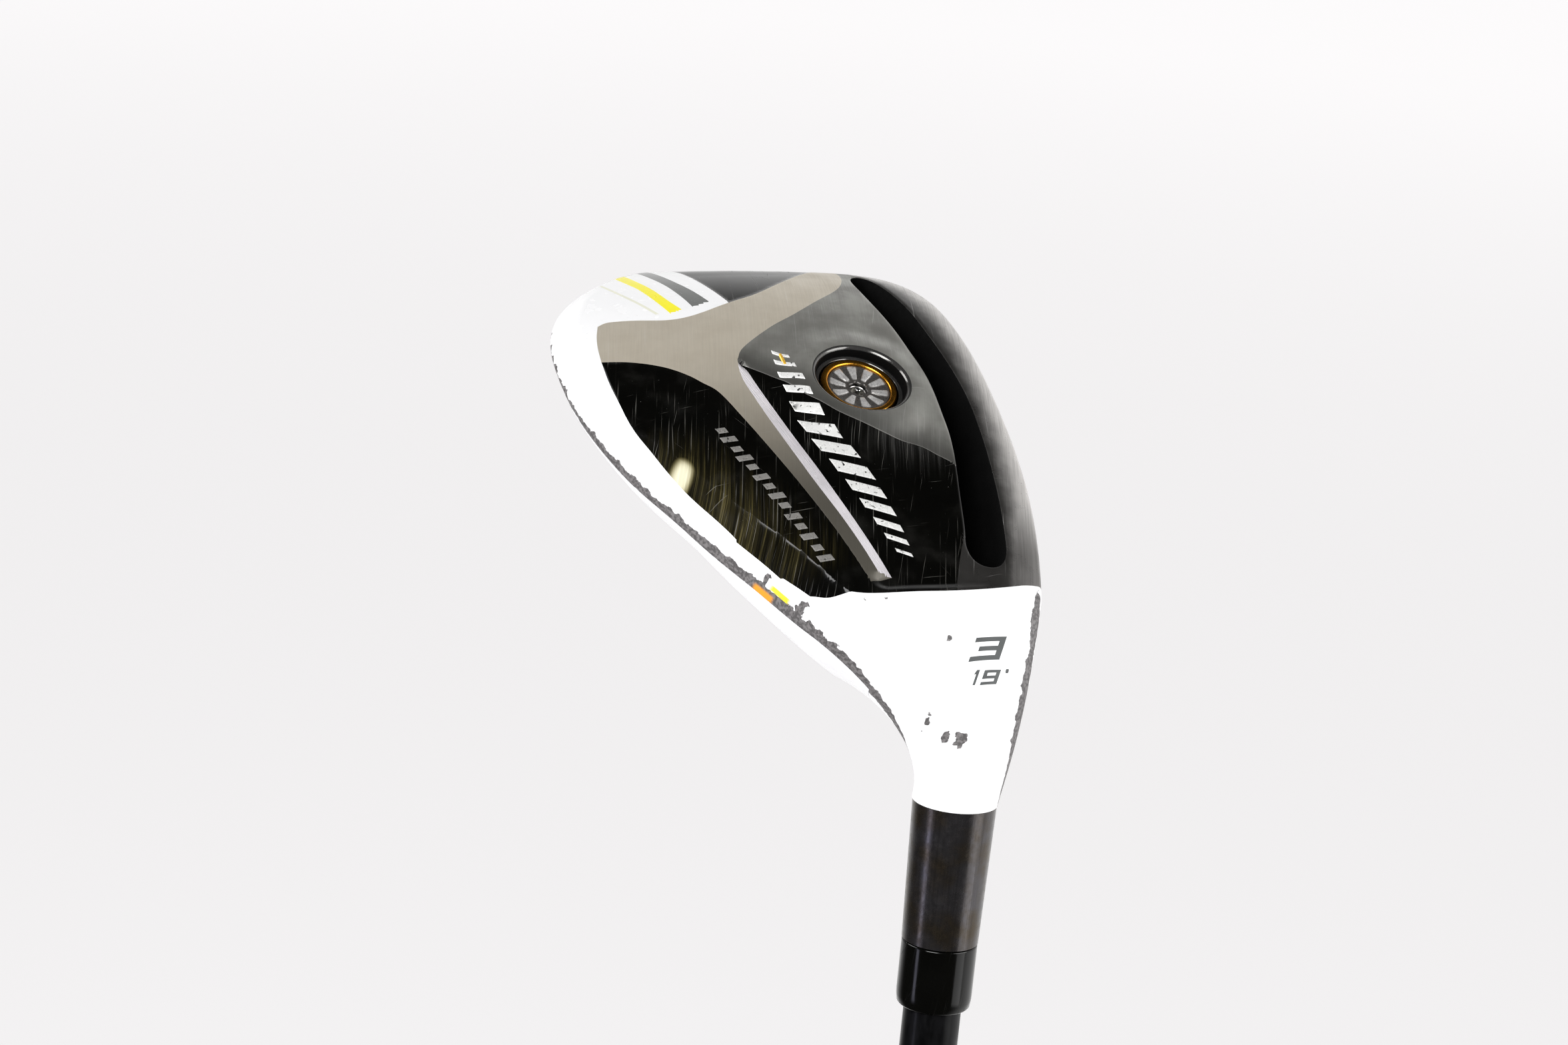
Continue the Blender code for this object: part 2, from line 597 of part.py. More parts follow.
def build_shaft(shaft_frame):
    """Hosel stopper, tip weight, ferrule, shaft, tape, grip and cap, turned about the row's Z axis."""
    top = shaft_z(SHAFT_TIP_S)
    bottom = CAP_THICKNESS + 2 * GAP
    parallel = shaft_z(SHAFT_TIP_S + TIP_PARALLEL)
    stopper_r = BORE_R - GAP
    stopper = [(0, shaft_z(STOPPER_S[1])), (stopper_r, shaft_z(STOPPER_S[1])),
               (stopper_r, shaft_z(STOPPER_S[0])), (0, shaft_z(STOPPER_S[0]))]
    new_object("hosel_stopper", turned("hosel_stopper", stopper, 28), shaft_frame,
               material("stopper_foam", (0.3, 0.3, 0.32), 0.9, 0.0))

    wall = SHAFT_WALL
    tube = [(TIP_R - wall, top), (TIP_R - 0.5, top), (TIP_R, top - 0.5), (TIP_R, parallel),
            (BUTT_R, bottom), (BUTT_R - wall, bottom), (TIP_R - wall, parallel)]
    new_object("shaft", turned("shaft", tube), shaft_frame,
               material("graphite_shaft", (0.02, 0.02, 0.022), 0.35, 0.0))

    pin_r = TIP_R - wall - GAP
    pin = [(0, top - 2.0), (pin_r, top - 2.0), (pin_r, top - 24.0), (pin_r * 0.6, top - 26.0),
           (0, top - 26.0)]
    new_object("shaft_tip_weight", turned("shaft_tip_weight", pin, 24), shaft_frame,
               material("brass_weight", (0.7, 0.52, 0.2), 0.35, 1.0))

    ferrule_top = shaft_z(HOSEL_END_S + GAP)
    ferrule_end = ferrule_top - FERRULE_LENGTH
    ferrule_bore = TIP_R + GAP
    ferrule = [(ferrule_bore, ferrule_top), (FERRULE_R, ferrule_top), (FERRULE_R, ferrule_end + 2.4),
               (FERRULE_R - 0.25, ferrule_end + 1.1), (FERRULE_R - 0.75, ferrule_end + 0.25),
               (FERRULE_R - 1.05, ferrule_end), (ferrule_bore, ferrule_end)]
    new_object("ferrule", turned("ferrule", ferrule, smooth_angle=50.0), shaft_frame,
               material("gloss_ferrule", (0.012, 0.012, 0.012), 0.15, 0.0))

    low = bottom
    tape_top = low + TAPE_LENGTH
    low_r = shaft_radius(shaft_z(low))
    high_r = shaft_radius(shaft_z(tape_top))
    tape = [(low_r + GAP, low), (low_r + GAP + TAPE_WALL, low), (high_r + GAP + TAPE_WALL, tape_top),
            (high_r + GAP, tape_top)]
    new_object("grip_tape", turned("grip_tape", tape), shaft_frame,
               material("grip_tape", (0.7, 0.66, 0.55), 0.8, 0.0))

    grip_low = CAP_THICKNESS + GAP
    grip_top = grip_low + GRIP_LENGTH
    layers = 2 * GAP + TAPE_WALL
    mouth_r = shaft_radius(shaft_z(grip_top)) + layers
    grip = [(low_r + layers, grip_low), (GRIP_BUTT_R - 0.6, grip_low), (GRIP_BUTT_R, grip_low + 1.2),
            (GRIP_BUTT_R - 0.1, grip_low + 9.0), (GRIP_BUTT_R - 1.6, grip_low + 60.0),
            (GRIP_MOUTH_R + 0.2, grip_top - 30.0), (GRIP_MOUTH_R, grip_top - 3.0),
            (GRIP_MOUTH_R - 0.8, grip_top), (mouth_r, grip_top)]
    new_object("grip", turned("grip", grip, smooth_angle=50.0), shaft_frame,
               material("rubber_grip", (0.025, 0.025, 0.025), 0.75, 0.0))

    cap_r = GRIP_BUTT_R + 0.1
    cap = [(VENT_R, 0.0), (cap_r - 1.1, 0.0), (cap_r - 0.3, 0.35), (cap_r, 1.2), (cap_r, CAP_THICKNESS),
           (VENT_R, CAP_THICKNESS)]
    new_object("grip_cap", turned("grip_cap", cap), shaft_frame,
               material("rubber_cap", (0.03, 0.03, 0.03), 0.65, 0.0))


for leftover in list(bpy.data.objects):
    bpy.data.objects.remove(leftover, do_unlink=True)

head_frame = empty("head_frame", None, (0.0, 0.0, CLUB_LENGTH), -(pi / 2 - LIE_RAD))
port_frame = empty("port_frame", head_frame, (PORT_X, PORT_Y, 0.0))
shaft_frame = empty("shaft_frame")
build_head(head_frame)
build_weight(port_frame)
build_shaft(shaft_frame)
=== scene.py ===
"""Looks of a compact fairway wood (hybrid head, number 3, 19 degrees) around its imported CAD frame.

The head is modelled in millimetres in its own frame: x heel to toe, y face to back, z up out of the
sole, with its origin where the shaft axis meets the ground plane. The shaft and grip are modelled in
the row frame, +Z up the shaft from the butt. The club stands on its butt, as in the photograph.
"""
import json
from math import cos, pi, radians, sin, sqrt, tan

import bmesh
import bpy
import numpy as np
from mathutils import Matrix, Vector
from mathutils.bvhtree import BVHTree
from mathutils.geometry import delaunay_2d_cdt


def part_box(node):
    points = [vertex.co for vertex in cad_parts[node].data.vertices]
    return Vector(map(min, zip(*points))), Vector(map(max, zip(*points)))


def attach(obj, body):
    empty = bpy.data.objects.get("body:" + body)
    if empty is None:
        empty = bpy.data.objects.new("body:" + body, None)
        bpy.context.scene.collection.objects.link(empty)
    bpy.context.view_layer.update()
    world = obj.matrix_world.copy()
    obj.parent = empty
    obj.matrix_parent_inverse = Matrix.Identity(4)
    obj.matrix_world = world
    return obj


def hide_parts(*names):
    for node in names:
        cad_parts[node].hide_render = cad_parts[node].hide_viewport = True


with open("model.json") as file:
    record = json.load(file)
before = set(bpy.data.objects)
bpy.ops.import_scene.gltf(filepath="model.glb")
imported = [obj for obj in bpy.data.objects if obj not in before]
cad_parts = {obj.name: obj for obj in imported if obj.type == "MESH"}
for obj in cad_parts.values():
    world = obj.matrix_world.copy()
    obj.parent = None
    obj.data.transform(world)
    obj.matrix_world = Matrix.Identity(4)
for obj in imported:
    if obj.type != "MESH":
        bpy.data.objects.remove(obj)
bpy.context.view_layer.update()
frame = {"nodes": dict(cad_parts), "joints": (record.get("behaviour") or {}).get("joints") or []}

# ---------------------------------------------------------------- sizes
MM = 0.001
LIE = radians(60.0)
LOFT = radians(19.0)
TOE_X = 87.5
NECK_X = -2.0
NECK_PIVOT_Z = -43.5
HEEL_BULGE_X = (4.0, 24.0)
EQUATOR = (17.0, -17.0)
SOLE_CENTRE = (36.0, 5.0)
CAMBER_TOE, CAMBER_HEEL, CAMBER_BACK, CAMBER_FRONT = 230.0, 200.0, 140.0, 260.0
LIP_ROLL = 5.0
# Superellipse power and start of the toe's closing, for the back edge, the leading edge and the height
CLOSE_BACK, CLOSE_FRONT, CLOSE_HEIGHT = (2.5, 56.0), (3.0, 60.0), (2.4, 50.0)
BAND_WIDTH = 4.2
HOSEL_RING_R, HOSEL_END_R, HOSEL_LENGTH, BORE_R = 6.9, 6.2, 23.4, 5.0
BORE_BOTTOM = 30.0
PAINT_STEP, PAINT_THICKNESS = 0.15, 0.12
PORT_X, PORT_Y = 43.5, 7.6
CROWN_WALL, FACE_WALL = 0.9, 2.2
SEAM_GAP = 0.06

# Steps round a loop of the head skin, and loops from toe to hosel
CROWN_STEPS, FACE_STEPS, SOLE_STEPS = 64, 90, 152
TOP_LINE = CROWN_STEPS
LEADING = CROWN_STEPS + FACE_STEPS
POINTS = CROWN_STEPS + FACE_STEPS + SOLE_STEPS
TOE_RINGS, HEAD_RINGS, NECK_RINGS, HOSEL_RINGS = 30, 191, 60, 16
PLATE_TOE_X = 84.0
EDGE_STRIP = 4

SHAFT_DIR = np.array([cos(LIE), 0.0, sin(LIE)])
PIVOT = np.array([NECK_X, 0.0, NECK_PIVOT_Z])
RING_S = -float(PIVOT @ SHAFT_DIR)
AXIS_SIDE = np.array([sin(LIE), 0.0, -cos(LIE)])

turn = next(joint for joint in frame["joints"] if joint["name"] == "weight_turn")
SOLE_DIR = Vector(turn["axis"]).normalized()
BACK_DIR = Vector((0.0, 1.0, 0.0))
TOE_DIR = BACK_DIR.cross(SOLE_DIR)
PORT = Vector(turn["pos_m"])
ORIGIN = PORT - (TOE_DIR * PORT_X + BACK_DIR * PORT_Y) * MM
HEAD = Matrix((TOE_DIR, BACK_DIR, SOLE_DIR)).transposed().to_4x4()
HEAD.translation = ORIGIN


def lerp(a, b, t):
    return a + (b - a) * t


def smoothstep(low, high, x):
    t = np.clip((x - low) / (high - low), 0.0, 1.0)
    return t * t * (3 - 2 * t)


# ---------------------------------------------------------------- outlines on the sole
LINE_STEP = 0.42


def resample(points, step=LINE_STEP, closed=False):
    """Even points, about step apart, along a smooth curve through given points."""
    p = np.array(points, float)
    count = len(p)
    dense = []
    for i in range(count if closed else count - 1):
        before = p[i - 1] if closed or i > 0 else 2 * p[0] - p[1]
        start, end = p[i], p[(i + 1) % count]
        after = p[(i + 2) % count] if closed or i + 2 < count else 2 * p[-1] - p[-2]
        t = np.linspace(0, 1, 20, endpoint=False)[:, None]
        dense.append(0.5 * (2 * start + (end - before) * t + (2 * before - 5 * start + 4 * end - after) * t**2
                            + (3 * start - before - 3 * end + after) * t**3))
    dense.append(p[:1] if closed else p[-1:])
    dense = np.concatenate(dense)
    along = np.concatenate([[0], np.cumsum(np.linalg.norm(np.diff(dense, axis=0), axis=1))])
    even = np.linspace(0, along[-1], max(2, round(along[-1] / step)) + 1)
    line = np.stack([np.interp(even, along, dense[:, k]) for k in range(2)], axis=1)
    return line[:-1] if closed else line


def line_normals(line, closed=False):
    """Unit normals to the left of a line of points."""
    if closed:
        along = np.roll(line, -1, axis=0) - np.roll(line, 1, axis=0)
    else:
        along = np.gradient(line, axis=0)
    normal = np.stack([-along[:, 1], along[:, 0]], axis=1)
    return normal / np.linalg.norm(normal, axis=1, keepdims=True)


def distance_to(line, xy):
    """Distance of every point xy from an open line."""
    best = np.full(len(xy), 1e9)
    for start, end in zip(line[:-1], line[1:]):
        step = end - start
        t = np.clip(((xy - start) @ step) / (step @ step), 0, 1)
        gap = xy - start - t[:, None] * step
        best = np.minimum(best, np.hypot(gap[:, 0], gap[:, 1]))
    return best


def inside(polygon, xy):
    """True for every point xy inside a closed polygon."""
    x, y = xy.T
    found = np.zeros(len(xy), bool)
    for (x0, y0), (x1, y1) in zip(polygon, np.roll(polygon, -1, axis=0)):
        if y0 != y1:
            found ^= ((y0 > y) != (y1 > y)) & (x < (x1 - x0) * (y - y0) / (y1 - y0) + x0)
    return found


BAND_TOE = resample([(65, 46.5), (62, 47.4), (58.6, 48), (55, 48.3)])
BAND_HEEL = resample([(55, 48.3), (49.3, 48.3), (43.5, 47.8), (38.6, 46.9), (34, 45.4), (28.6, 43.1),
                      (21.3, 39.1), (12.5, 33.6), (6.3, 29), (1.9, 25.8)])
HEEL_LINE = resample([(1.9, 25.8), (-0.2, 23.3), (-1.4, 20.2), (-1.85, 16.5), (-1.87, 10), (-1.85, 5),
                      (-1.6, 0), (-1.1, -5), (-0.4, -10), (0.1, -13.5)])
TOE_SEAM = resample([(65, 46.5), (65.7, 44.6), (65, 40.5), (63.7, 35), (64.4, 30.3), (67.5, 23.6)])
ARM_TOP = resample([(67.5, 23.6), (70.1, 18.2), (74.5, 12.5), (79.8, 6.5), (84, 2.2), (88, -1.5)])
ARM_LOW = resample([(50.5, 27), (53.5, 25.2), (58.7, 19.1), (62.4, 13.9), (67.1, 8.2), (71.5, 3.2),
                    (75.5, 0.4), (80, -1.2), (88, -2.6)])
BAR_LEFT = resample([(55, 48.3), (53.9, 44.8), (52.2, 41.2), (50.2, 38.2), (47.8, 35.7), (45.6, 34),
                     (42.8, 32), (36.2, 29.7), (29.5, 27.4), (20.5, 24.2), (11.6, 21), (6.6, 19.3),
                     (2.1, 17.9)])
BAR_RIGHT = resample([(50.5, 27), (47.8, 27.4), (45, 27.4), (42.3, 27), (35.6, 25.7), (27.7, 23.7),
                      (20.4, 21.6), (13.4, 19.2), (7.5, 17.3), (2.3, 15.8)])
BEVEL_FOOT = resample([(50.5, 27), (48.6, 25.8), (45.2, 25.2), (39.6, 24.1), (32, 22.3), (25, 20.3),
                       (18.5, 18.4), (12.9, 16.7), (6.2, 14.7), (1.5, 13.4)])
BAR_END_TOP = resample([(2.1, 17.9), (2.3, 15.8)])
BAR_END_FOOT = resample([(0.6, 17.3), (1.5, 13.4)])
CREASE = resample([(49.4, 25.6), (45.2, 21), (40.6, 18.5), (38, 16.4), (35.1, 13.7), (32.3, 9.4),
                   (30.1, 4.7), (28.4, 0.6), (25.4, -2.4), (22.5, -4.6)])
STRIPE_EDGE = resample([(67.5, 23.6), (70.4, 24.3), (74.8, 25.4), (79.5, 26.5), (84, 27.6), (88, 28.6)])
YELLOW_LINES = [resample([(66.5, 32), (69.9, 33.2), (75.1, 34.6), (79.2, 36), (84, 37.6)]),
                resample([(65.7, 34.2), (70.5, 35.4), (75.7, 36.8), (79.2, 38.2), (84, 39.9)])]
GREY_LINES = [resample([(68.5, 26.8), (72.7, 28.1), (77.6, 29.9), (82.6, 31.5), (88, 33)]),
              resample([(67.1, 30), (70.9, 30.7), (76.1, 31.9), (81.8, 33.7), (88, 35.5)])]
CREAM_LINES = [resample([(65.9, 36), (70, 37.8), (74.2, 39.8), (79, 42)]),
               resample([(65.9, 36.6), (70, 38.4), (74.2, 40.4), (79, 42.6)])]
LIP_LINE = resample([(12.5, -2.2), (5, 0.9), (-1.7, 3.3)])
SLOT = resample([(2.9, -4.3), (3.5, -2.5), (5, -1.2), (7.5, -0.8), (11, -1.5), (18, -2.6), (27, -4.1),
                 (34, -4.7), (45, -4.6), (57, -3.4), (68, -2.1), (75.5, -2), (79, -2.9), (80.3, -4.6),
                 (79, -6.2), (74, -7.3), (66, -8.4), (57, -9.2), (48, -10.3), (40, -10.8), (30, -10.4),
                 (18, -9.3), (9, -8), (5.5, -7.2), (3.5, -5.9)], closed=True)
SLOT_MIDDLE = resample([(6, -4.2), (18, -6), (30, -7.4), (42, -7.7), (57, -6.4), (68, -5.2), (77, -4.6)])


def chain(*lines):
    return np.concatenate(lines)


FAR = np.array([(0.5, -22.0), (95.0, -22.0), (95.0, 30.0)])
DARK_AREA = chain(BAND_TOE, BAND_HEEL, HEEL_LINE, FAR, STRIPE_EDGE[::-1], TOE_SEAM[::-1])
BAR = chain(BAND_TOE, BAR_LEFT, BAR_END_TOP, BAR_RIGHT[::-1], ARM_LOW, [(92.0, -2.0)], ARM_TOP[::-1],
            TOE_SEAM[::-1])
BEVEL = chain(BAR_RIGHT, BEVEL_FOOT[::-1])
BAR_END = chain(BAR_END_TOP, BAR_END_FOOT[::-1])
FACET = chain(CREASE, [(22.5, -6.2)], SLOT_MIDDLE[SLOT_MIDDLE[:, 0] > 23], [(92.0, -4.2)], ARM_LOW[::-1])
LIP = chain(LIP_LINE, [(-1.1, -5.0), (-0.4, -10.0), (0.5, -22.0), (95.0, -22.0), (92.0, -4.2)],
            SLOT_MIDDLE[::-1], [(6.0, -2.5)])
TOE_DARK = chain(STRIPE_EDGE, [(92.0, 10.0)], ARM_TOP[::-1])
YELLOW = chain(YELLOW_LINES[0], YELLOW_LINES[1][::-1])
GREY = chain(GREY_LINES[0], GREY_LINES[1][::-1])
CREAM = chain(CREAM_LINES[0], CREAM_LINES[1][::-1])
OUTLINES = [BAND_TOE, BAND_HEEL, HEEL_LINE, TOE_SEAM, ARM_TOP, ARM_LOW, BAR_LEFT, BAR_RIGHT, BEVEL_FOOT,
            BAR_END_TOP, BAR_END_FOOT, CREASE, STRIPE_EDGE, LIP_LINE, *YELLOW_LINES, *GREY_LINES,
            *CREAM_LINES]


# ---------------------------------------------------------------- head skin
def curve(xs, ys, x):
    """Smooth curve through the points (xs, ys), read at every x."""
    xs = np.array(xs, float)
    ys = np.array(ys, float)
    slope = np.gradient(ys, xs)
    x = np.clip(x, xs[0], xs[-1])
    i = np.clip(np.searchsorted(xs, x) - 1, 0, len(xs) - 2)
    h = xs[i + 1] - xs[i]
    t = (x - xs[i]) / h
    start = (2 * t**3 - 3 * t**2 + 1) * ys[i] + (t**3 - 2 * t**2 + t) * h * slope[i]
    return start + (-2 * t**3 + 3 * t**2) * ys[i + 1] + (t**3 - t**2) * h * slope[i + 1]


def toe_closing(x, power, start):
    """1 along the head, falling to 0 at the toe tip like a superellipse."""
    xi = np.clip((x - start) / (TOE_X - start), 0.0, 1.0)
    return (1 - xi**power) ** (1 / power)


def close_y(y, x, power, start):
    return EQUATOR[0] + (y - EQUATOR[0]) * toe_closing(x, power, start)


def close_z(z, x):
    return EQUATOR[1] + (z - EQUATOR[1]) * toe_closing(x, *CLOSE_HEIGHT)


def back_edge(x):
    y = curve([-17, -8, 0, 8, 16, 24, 32, 40, 50, 60, 90],
              [13, 19.5, 26, 31.5, 37.5, 42.5, 47.3, 50.6, 53.2, 54, 54], x)
    z = curve([-17, -8, 8, 30, 60, 90], [-14, -13, -12.4, -12.3, -13, -14], x)
    return close_y(y, x, *CLOSE_BACK), close_z(z, x)


def leading_edge(x):
    y = curve([-8, 0, 8, 16, 27, 39, 52, 65, 90],
              [-10.6, -12.8, -14.6, -16.0, -17.2, -17.7, -17.6, -16.8, -15], x)
    z = curve([-8, 3, 16, 36, 56, 70, 90], [-6.5, -4.5, -3.0, -2.4, -2.9, -4.2, -6.5], x)
    return close_y(y, x, *CLOSE_FRONT), close_z(z, x)


def top_line(x):
    z = close_z(curve([-8, 0, 16, 36, 56, 90], [-25.5, -27, -30.5, -33.5, -34.5, -34], x), x)
    y_low, z_low = leading_edge(x)
    return y_low + (z_low - z) * tan(LOFT), z


def plain_sole(x, y):
    radius_x = np.where(x > SOLE_CENTRE[0], CAMBER_TOE, CAMBER_HEEL)
    radius_y = np.where(y > SOLE_CENTRE[1], CAMBER_BACK, CAMBER_FRONT)
    z = -(x - SOLE_CENTRE[0]) ** 2 / (2 * radius_x) - (y - SOLE_CENTRE[1]) ** 2 / (2 * radius_y)
    return close_z(z, x)


def sole_height(x, y):
    """Height of the sole: camber, rolled leading edge and rising back band."""
    y_low, z_low = leading_edge(x)
    y_back, z_back = back_edge(x)
    roll = 1 - np.clip((y - y_low) / LIP_ROLL, 0.0, 1.0)
    rise = np.clip(1 - (y_back - y) / BAND_WIDTH, 0.0, 1.0)
    z = plain_sole(x, y) - (plain_sole(x, y_low) - z_low) * roll**2
    return z - (plain_sole(x, y_back) - z_back) * rise**1.35


def head_sections(x):
    """Loops of the skin at every x: back edge, crown, top line, face, leading edge, sole."""
    y_back, z_back = back_edge(x)
    y_top, z_top = top_line(x)
    y_low, z_low = leading_edge(x)
    close = toe_closing(x, *CLOSE_HEIGHT)
    heel = 1 - smoothstep(*HEEL_BULGE_X, x)
    bulge = 2.4 * heel * toe_closing(x, *CLOSE_BACK)
    handle_y = [y_back, y_back + bulge, lerp(y_back, y_top, 0.42), y_top]
    handle_z = [z_back, z_back - lerp(4.5, 7.0, heel) * close, z_top - 4.0 * close, z_top]
    t = (np.arange(CROWN_STEPS) / CROWN_STEPS)[None, :]
    weights = [(1 - t) ** 3, 3 * (1 - t) ** 2 * t, 3 * (1 - t) * t * t, t**3]
    crown_y = sum(w * h[:, None] for w, h in zip(weights, handle_y))
    crown_z = sum(w * h[:, None] for w, h in zip(weights, handle_z))
    t = (np.arange(FACE_STEPS) / FACE_STEPS)[None, :]
    face_y = lerp(y_top[:, None], y_low[:, None], t)
    face_z = lerp(z_top[:, None], z_low[:, None], t)
    t = (np.arange(SOLE_STEPS) / SOLE_STEPS)[None, :]
    sole_y = lerp(y_low[:, None], y_back[:, None], t)
    sole_z = sole_height(x[:, None] + 0 * sole_y, sole_y)
    y = np.concatenate([crown_y, face_y, sole_y], axis=1)
    z = np.concatenate([crown_z, face_z, sole_z], axis=1)
    return np.stack([x[:, None] + 0 * y, y, z], axis=2)


def loop_angles():
    """Angle round the hosel of each point of a loop, so that sections and hosel circles match."""
    spans = [(CROWN_STEPS, 25.0, 130.0), (FACE_STEPS, 155.0, 50.0), (SOLE_STEPS, 205.0, 180.0)]
    return np.radians(np.concatenate([start + sweep * np.arange(n) / n for n, start, sweep in spans]))


def hosel_circle(s, radius):
    """Loop round the shaft axis at distance s from the ground point."""
    a = loop_angles()[:, None]
    return -s * SHAFT_DIR + radius * (np.cos(a) * np.array([0, 1.0, 0]) + np.sin(a) * AXIS_SIDE)


def neck_ring(base, t):
    """Loop of the neck, turned about the pivot line by the share t of the lie."""
    tau = LIE * t
    angles = loop_angles()
    centre_r = sqrt(float(PIVOT @ PIVOT) - RING_S**2)
    blend_y = 1 - (1 - t) ** 1.9 * (1 - 0.3 * t)
    blend_r = 1 - (1 - t) ** 1.25
    y = lerp(base[:, 1], HOSEL_RING_R * np.cos(angles), blend_y)
    r = lerp(base[:, 2] - NECK_PIVOT_Z, centre_r - HOSEL_RING_R * np.sin(angles), blend_r)
    ring = PIVOT + r[:, None] * np.array([-sin(tau), 0.0, cos(tau)])
    ring[:, 1] += y
    return ring


def ring_positions():
    """Heel-to-toe places of the head's loops, closer together towards the toe tip."""
    angle = np.linspace(0.13, pi / 2, TOE_RINGS)
    toe = TOE_X - (TOE_X - PLATE_TOE_X) * (1 - np.cos(angle))
    return np.concatenate([toe, np.linspace(PLATE_TOE_X, NECK_X, HEAD_RINGS + 1)[1:]])


def round_edge(rings, middle, before, after, passes):
    """Round a corner of every loop by easing the points near it towards their neighbours."""
    window = np.arange(middle - before, middle + after + 1) % POINTS
    for _ in range(passes):
        neighbours = (rings[:, (window - 1) % POINTS] + rings[:, (window + 1) % POINTS]) / 2
        rings[:, window] = lerp(rings[:, window], neighbours, 0.6)


def skin_rings():
    """Outer loops of the head, from the toe tip to the end of the hosel."""
    x = ring_positions()
    rings = list(head_sections(x))
    base = rings[-1]
    for i in range(1, NECK_RINGS + 1):
        rings.append(neck_ring(base, i / NECK_RINGS))
    rings = np.array(rings)
    round_edge(rings, TOP_LINE, 2, 10, 25)
    round_edge(rings, LEADING, 8, 3, 25)
    round_edge(rings, POINTS, 2, 1, 6)
    hosel = []
    for share in np.linspace(0.0, 1.0, HOSEL_RINGS + 1):
        along = RING_S + lerp(PAINT_STEP, HOSEL_LENGTH, share)
        hosel.append(hosel_circle(along, lerp(HOSEL_RING_R - PAINT_THICKNESS, HOSEL_END_R, share)))
    return np.concatenate([rings, np.array(hosel)])


def skin_normals(rings):
    """Outward unit normals of the skin at each point of its loops."""
    along = np.gradient(rings, axis=0)
    around = np.roll(rings, -1, axis=1) - np.roll(rings, 1, axis=1)
    normal = np.cross(along, around)
    normal /= np.linalg.norm(normal, axis=2, keepdims=True)
    outward = (normal * (rings - rings.mean(axis=1, keepdims=True))).sum()
    return normal if outward > 0 else -normal


# ---------------------------------------------------------------- relief of the sole
PANEL_DEPTH, LEFT_DEPTH, FACET_POWER = 0.9, 0.2, 2.0
STEP_WIDTH = 0.3
PORT_RISE, PORT_COLLAR, PORT_SINK = 0.9, (15.0, 8.8), (9.0, 14.5)
SLOT_SHOULDER, LIP_FADE, HEEL_FADE, TOE_FADE = 4.0, (-5.6, -1.0), 2.4, 4.0
DIVIDE_X, DIVIDE_Y, DIVIDE_ANGLE, DIVIDE_WIDTH = 1.6, 16.6, 0.31, 1.5
TINY, MERGE = 1e-9, 1e-6
PORT_LIP = [(8.45, 0.0), (8.2, 0.06), (7.97, 0.22), (7.8, 0.5)]
PORT_ENTRY = (7.64, 0.4)
PORT_WALL = [(7.6, -1.38), (7.5, -1.5), (6.95, -1.5), (6.87, -1.6), (6.85, -6.1), (4.35, -6.1),
             (4.35, -13.2)]
PORT_LEDGE = (3, 4)
SLOT_LIP = [(0.55, 0.0), (0.22, 0.06), (0.0, 0.2)]
SLOT_WALLS = [(0.12, 0.45), (0.2, 1.2), (0.25, 2.6), (0.3, 4.2), (0.4, 5.6), (0.8, 6.4), (1.6, 6.85),
              (2.4, 7.0)]
SLOT_REACH = 0.8


def relief(xy):
    """How far every point of the sole lies below the plain sole, for the panels, the bar and the bevel."""
    x, y = xy.T
    arm = distance_to(ARM_LOW, xy)
    crease = distance_to(CREASE, xy)
    port = np.hypot(x - PORT_X, y - PORT_Y)
    rise = np.where(inside(FACET, xy), (arm / (arm + crease + TINY)) ** FACET_POWER, 1.0)
    right = PANEL_DEPTH * rise * smoothstep(*PORT_SINK, port)
    right *= lerp(0.5, 1.0, smoothstep(0.0, SLOT_SHOULDER, distance_to(SLOT, xy))) * smoothstep(*LIP_FADE, y)
    left = LEFT_DEPTH * np.clip(distance_to(BAR_LEFT, xy) / STEP_WIDTH, 0, 1)
    left *= np.clip(distance_to(BAND_HEEL, xy) / STEP_WIDTH, 0, 1)
    across = (y - DIVIDE_Y) * cos(DIVIDE_ANGLE) - (x - DIVIDE_X) * sin(DIVIDE_ANGLE)
    depth = lerp(right, left, smoothstep(-DIVIDE_WIDTH, DIVIDE_WIDTH, across))
    depth *= smoothstep(0.0, HEEL_FADE, distance_to(HEEL_LINE, xy))
    toe_step = np.clip(np.minimum(distance_to(STRIPE_EDGE, xy), distance_to(ARM_TOP, xy)) / STEP_WIDTH, 0, 1)
    depth = np.where(inside(TOE_DARK, xy), LEFT_DEPTH * toe_step, depth)
    for polygon, top, foot in ((BEVEL, BAR_RIGHT, BEVEL_FOOT), (BAR_END, BAR_END_TOP, BAR_END_FOOT)):
        fall = distance_to(top, xy)
        fall = fall / (fall + distance_to(foot, xy) + TINY)
        depth = np.where(inside(polygon, xy), np.minimum(depth, PANEL_DEPTH) * fall, depth)
    depth[inside(BAR, xy) | ~inside(DARK_AREA, xy)] = 0.0
    depth -= PORT_RISE * smoothstep(*PORT_COLLAR, port)
    return depth * smoothstep(PLATE_TOE_X, PLATE_TOE_X - TOE_FADE, x)


# Finish numbers; BEVEL_HIGHLIGHT is the bar's bevel, its metal painted pale as a painted highlight
(WHITE, SATIN, BLACK, BEVEL_HIGHLIGHT, GREY_FACET, LIP_METAL, YELLOW_PAINT, GREY_PAINT, POCKET, GUNMETAL, CREAM_PAINT,
 PORT_METAL) = range(12)


def paint(xy):
    """Finish number of every point of the sole."""
    found = np.full(len(xy), WHITE)
    dark = inside(DARK_AREA, xy)
    found[dark] = BLACK
    found[dark & inside(FACET, xy)] = GREY_FACET
    found[dark & inside(LIP, xy)] = LIP_METAL
    found[dark & inside(TOE_DARK, xy)] = BLACK
    found[dark & inside(BAR, xy)] = SATIN
    # The bevel gets the painted-highlight finish
    found[inside(BEVEL, xy)] = BEVEL_HIGHLIGHT
    found[inside(BAR_END, xy)] = SATIN
    found[~dark & inside(YELLOW, xy)] = YELLOW_PAINT
    found[~dark & inside(GREY, xy)] = GREY_PAINT
    found[~dark & inside(CREAM, xy)] = CREAM_PAINT
    return found


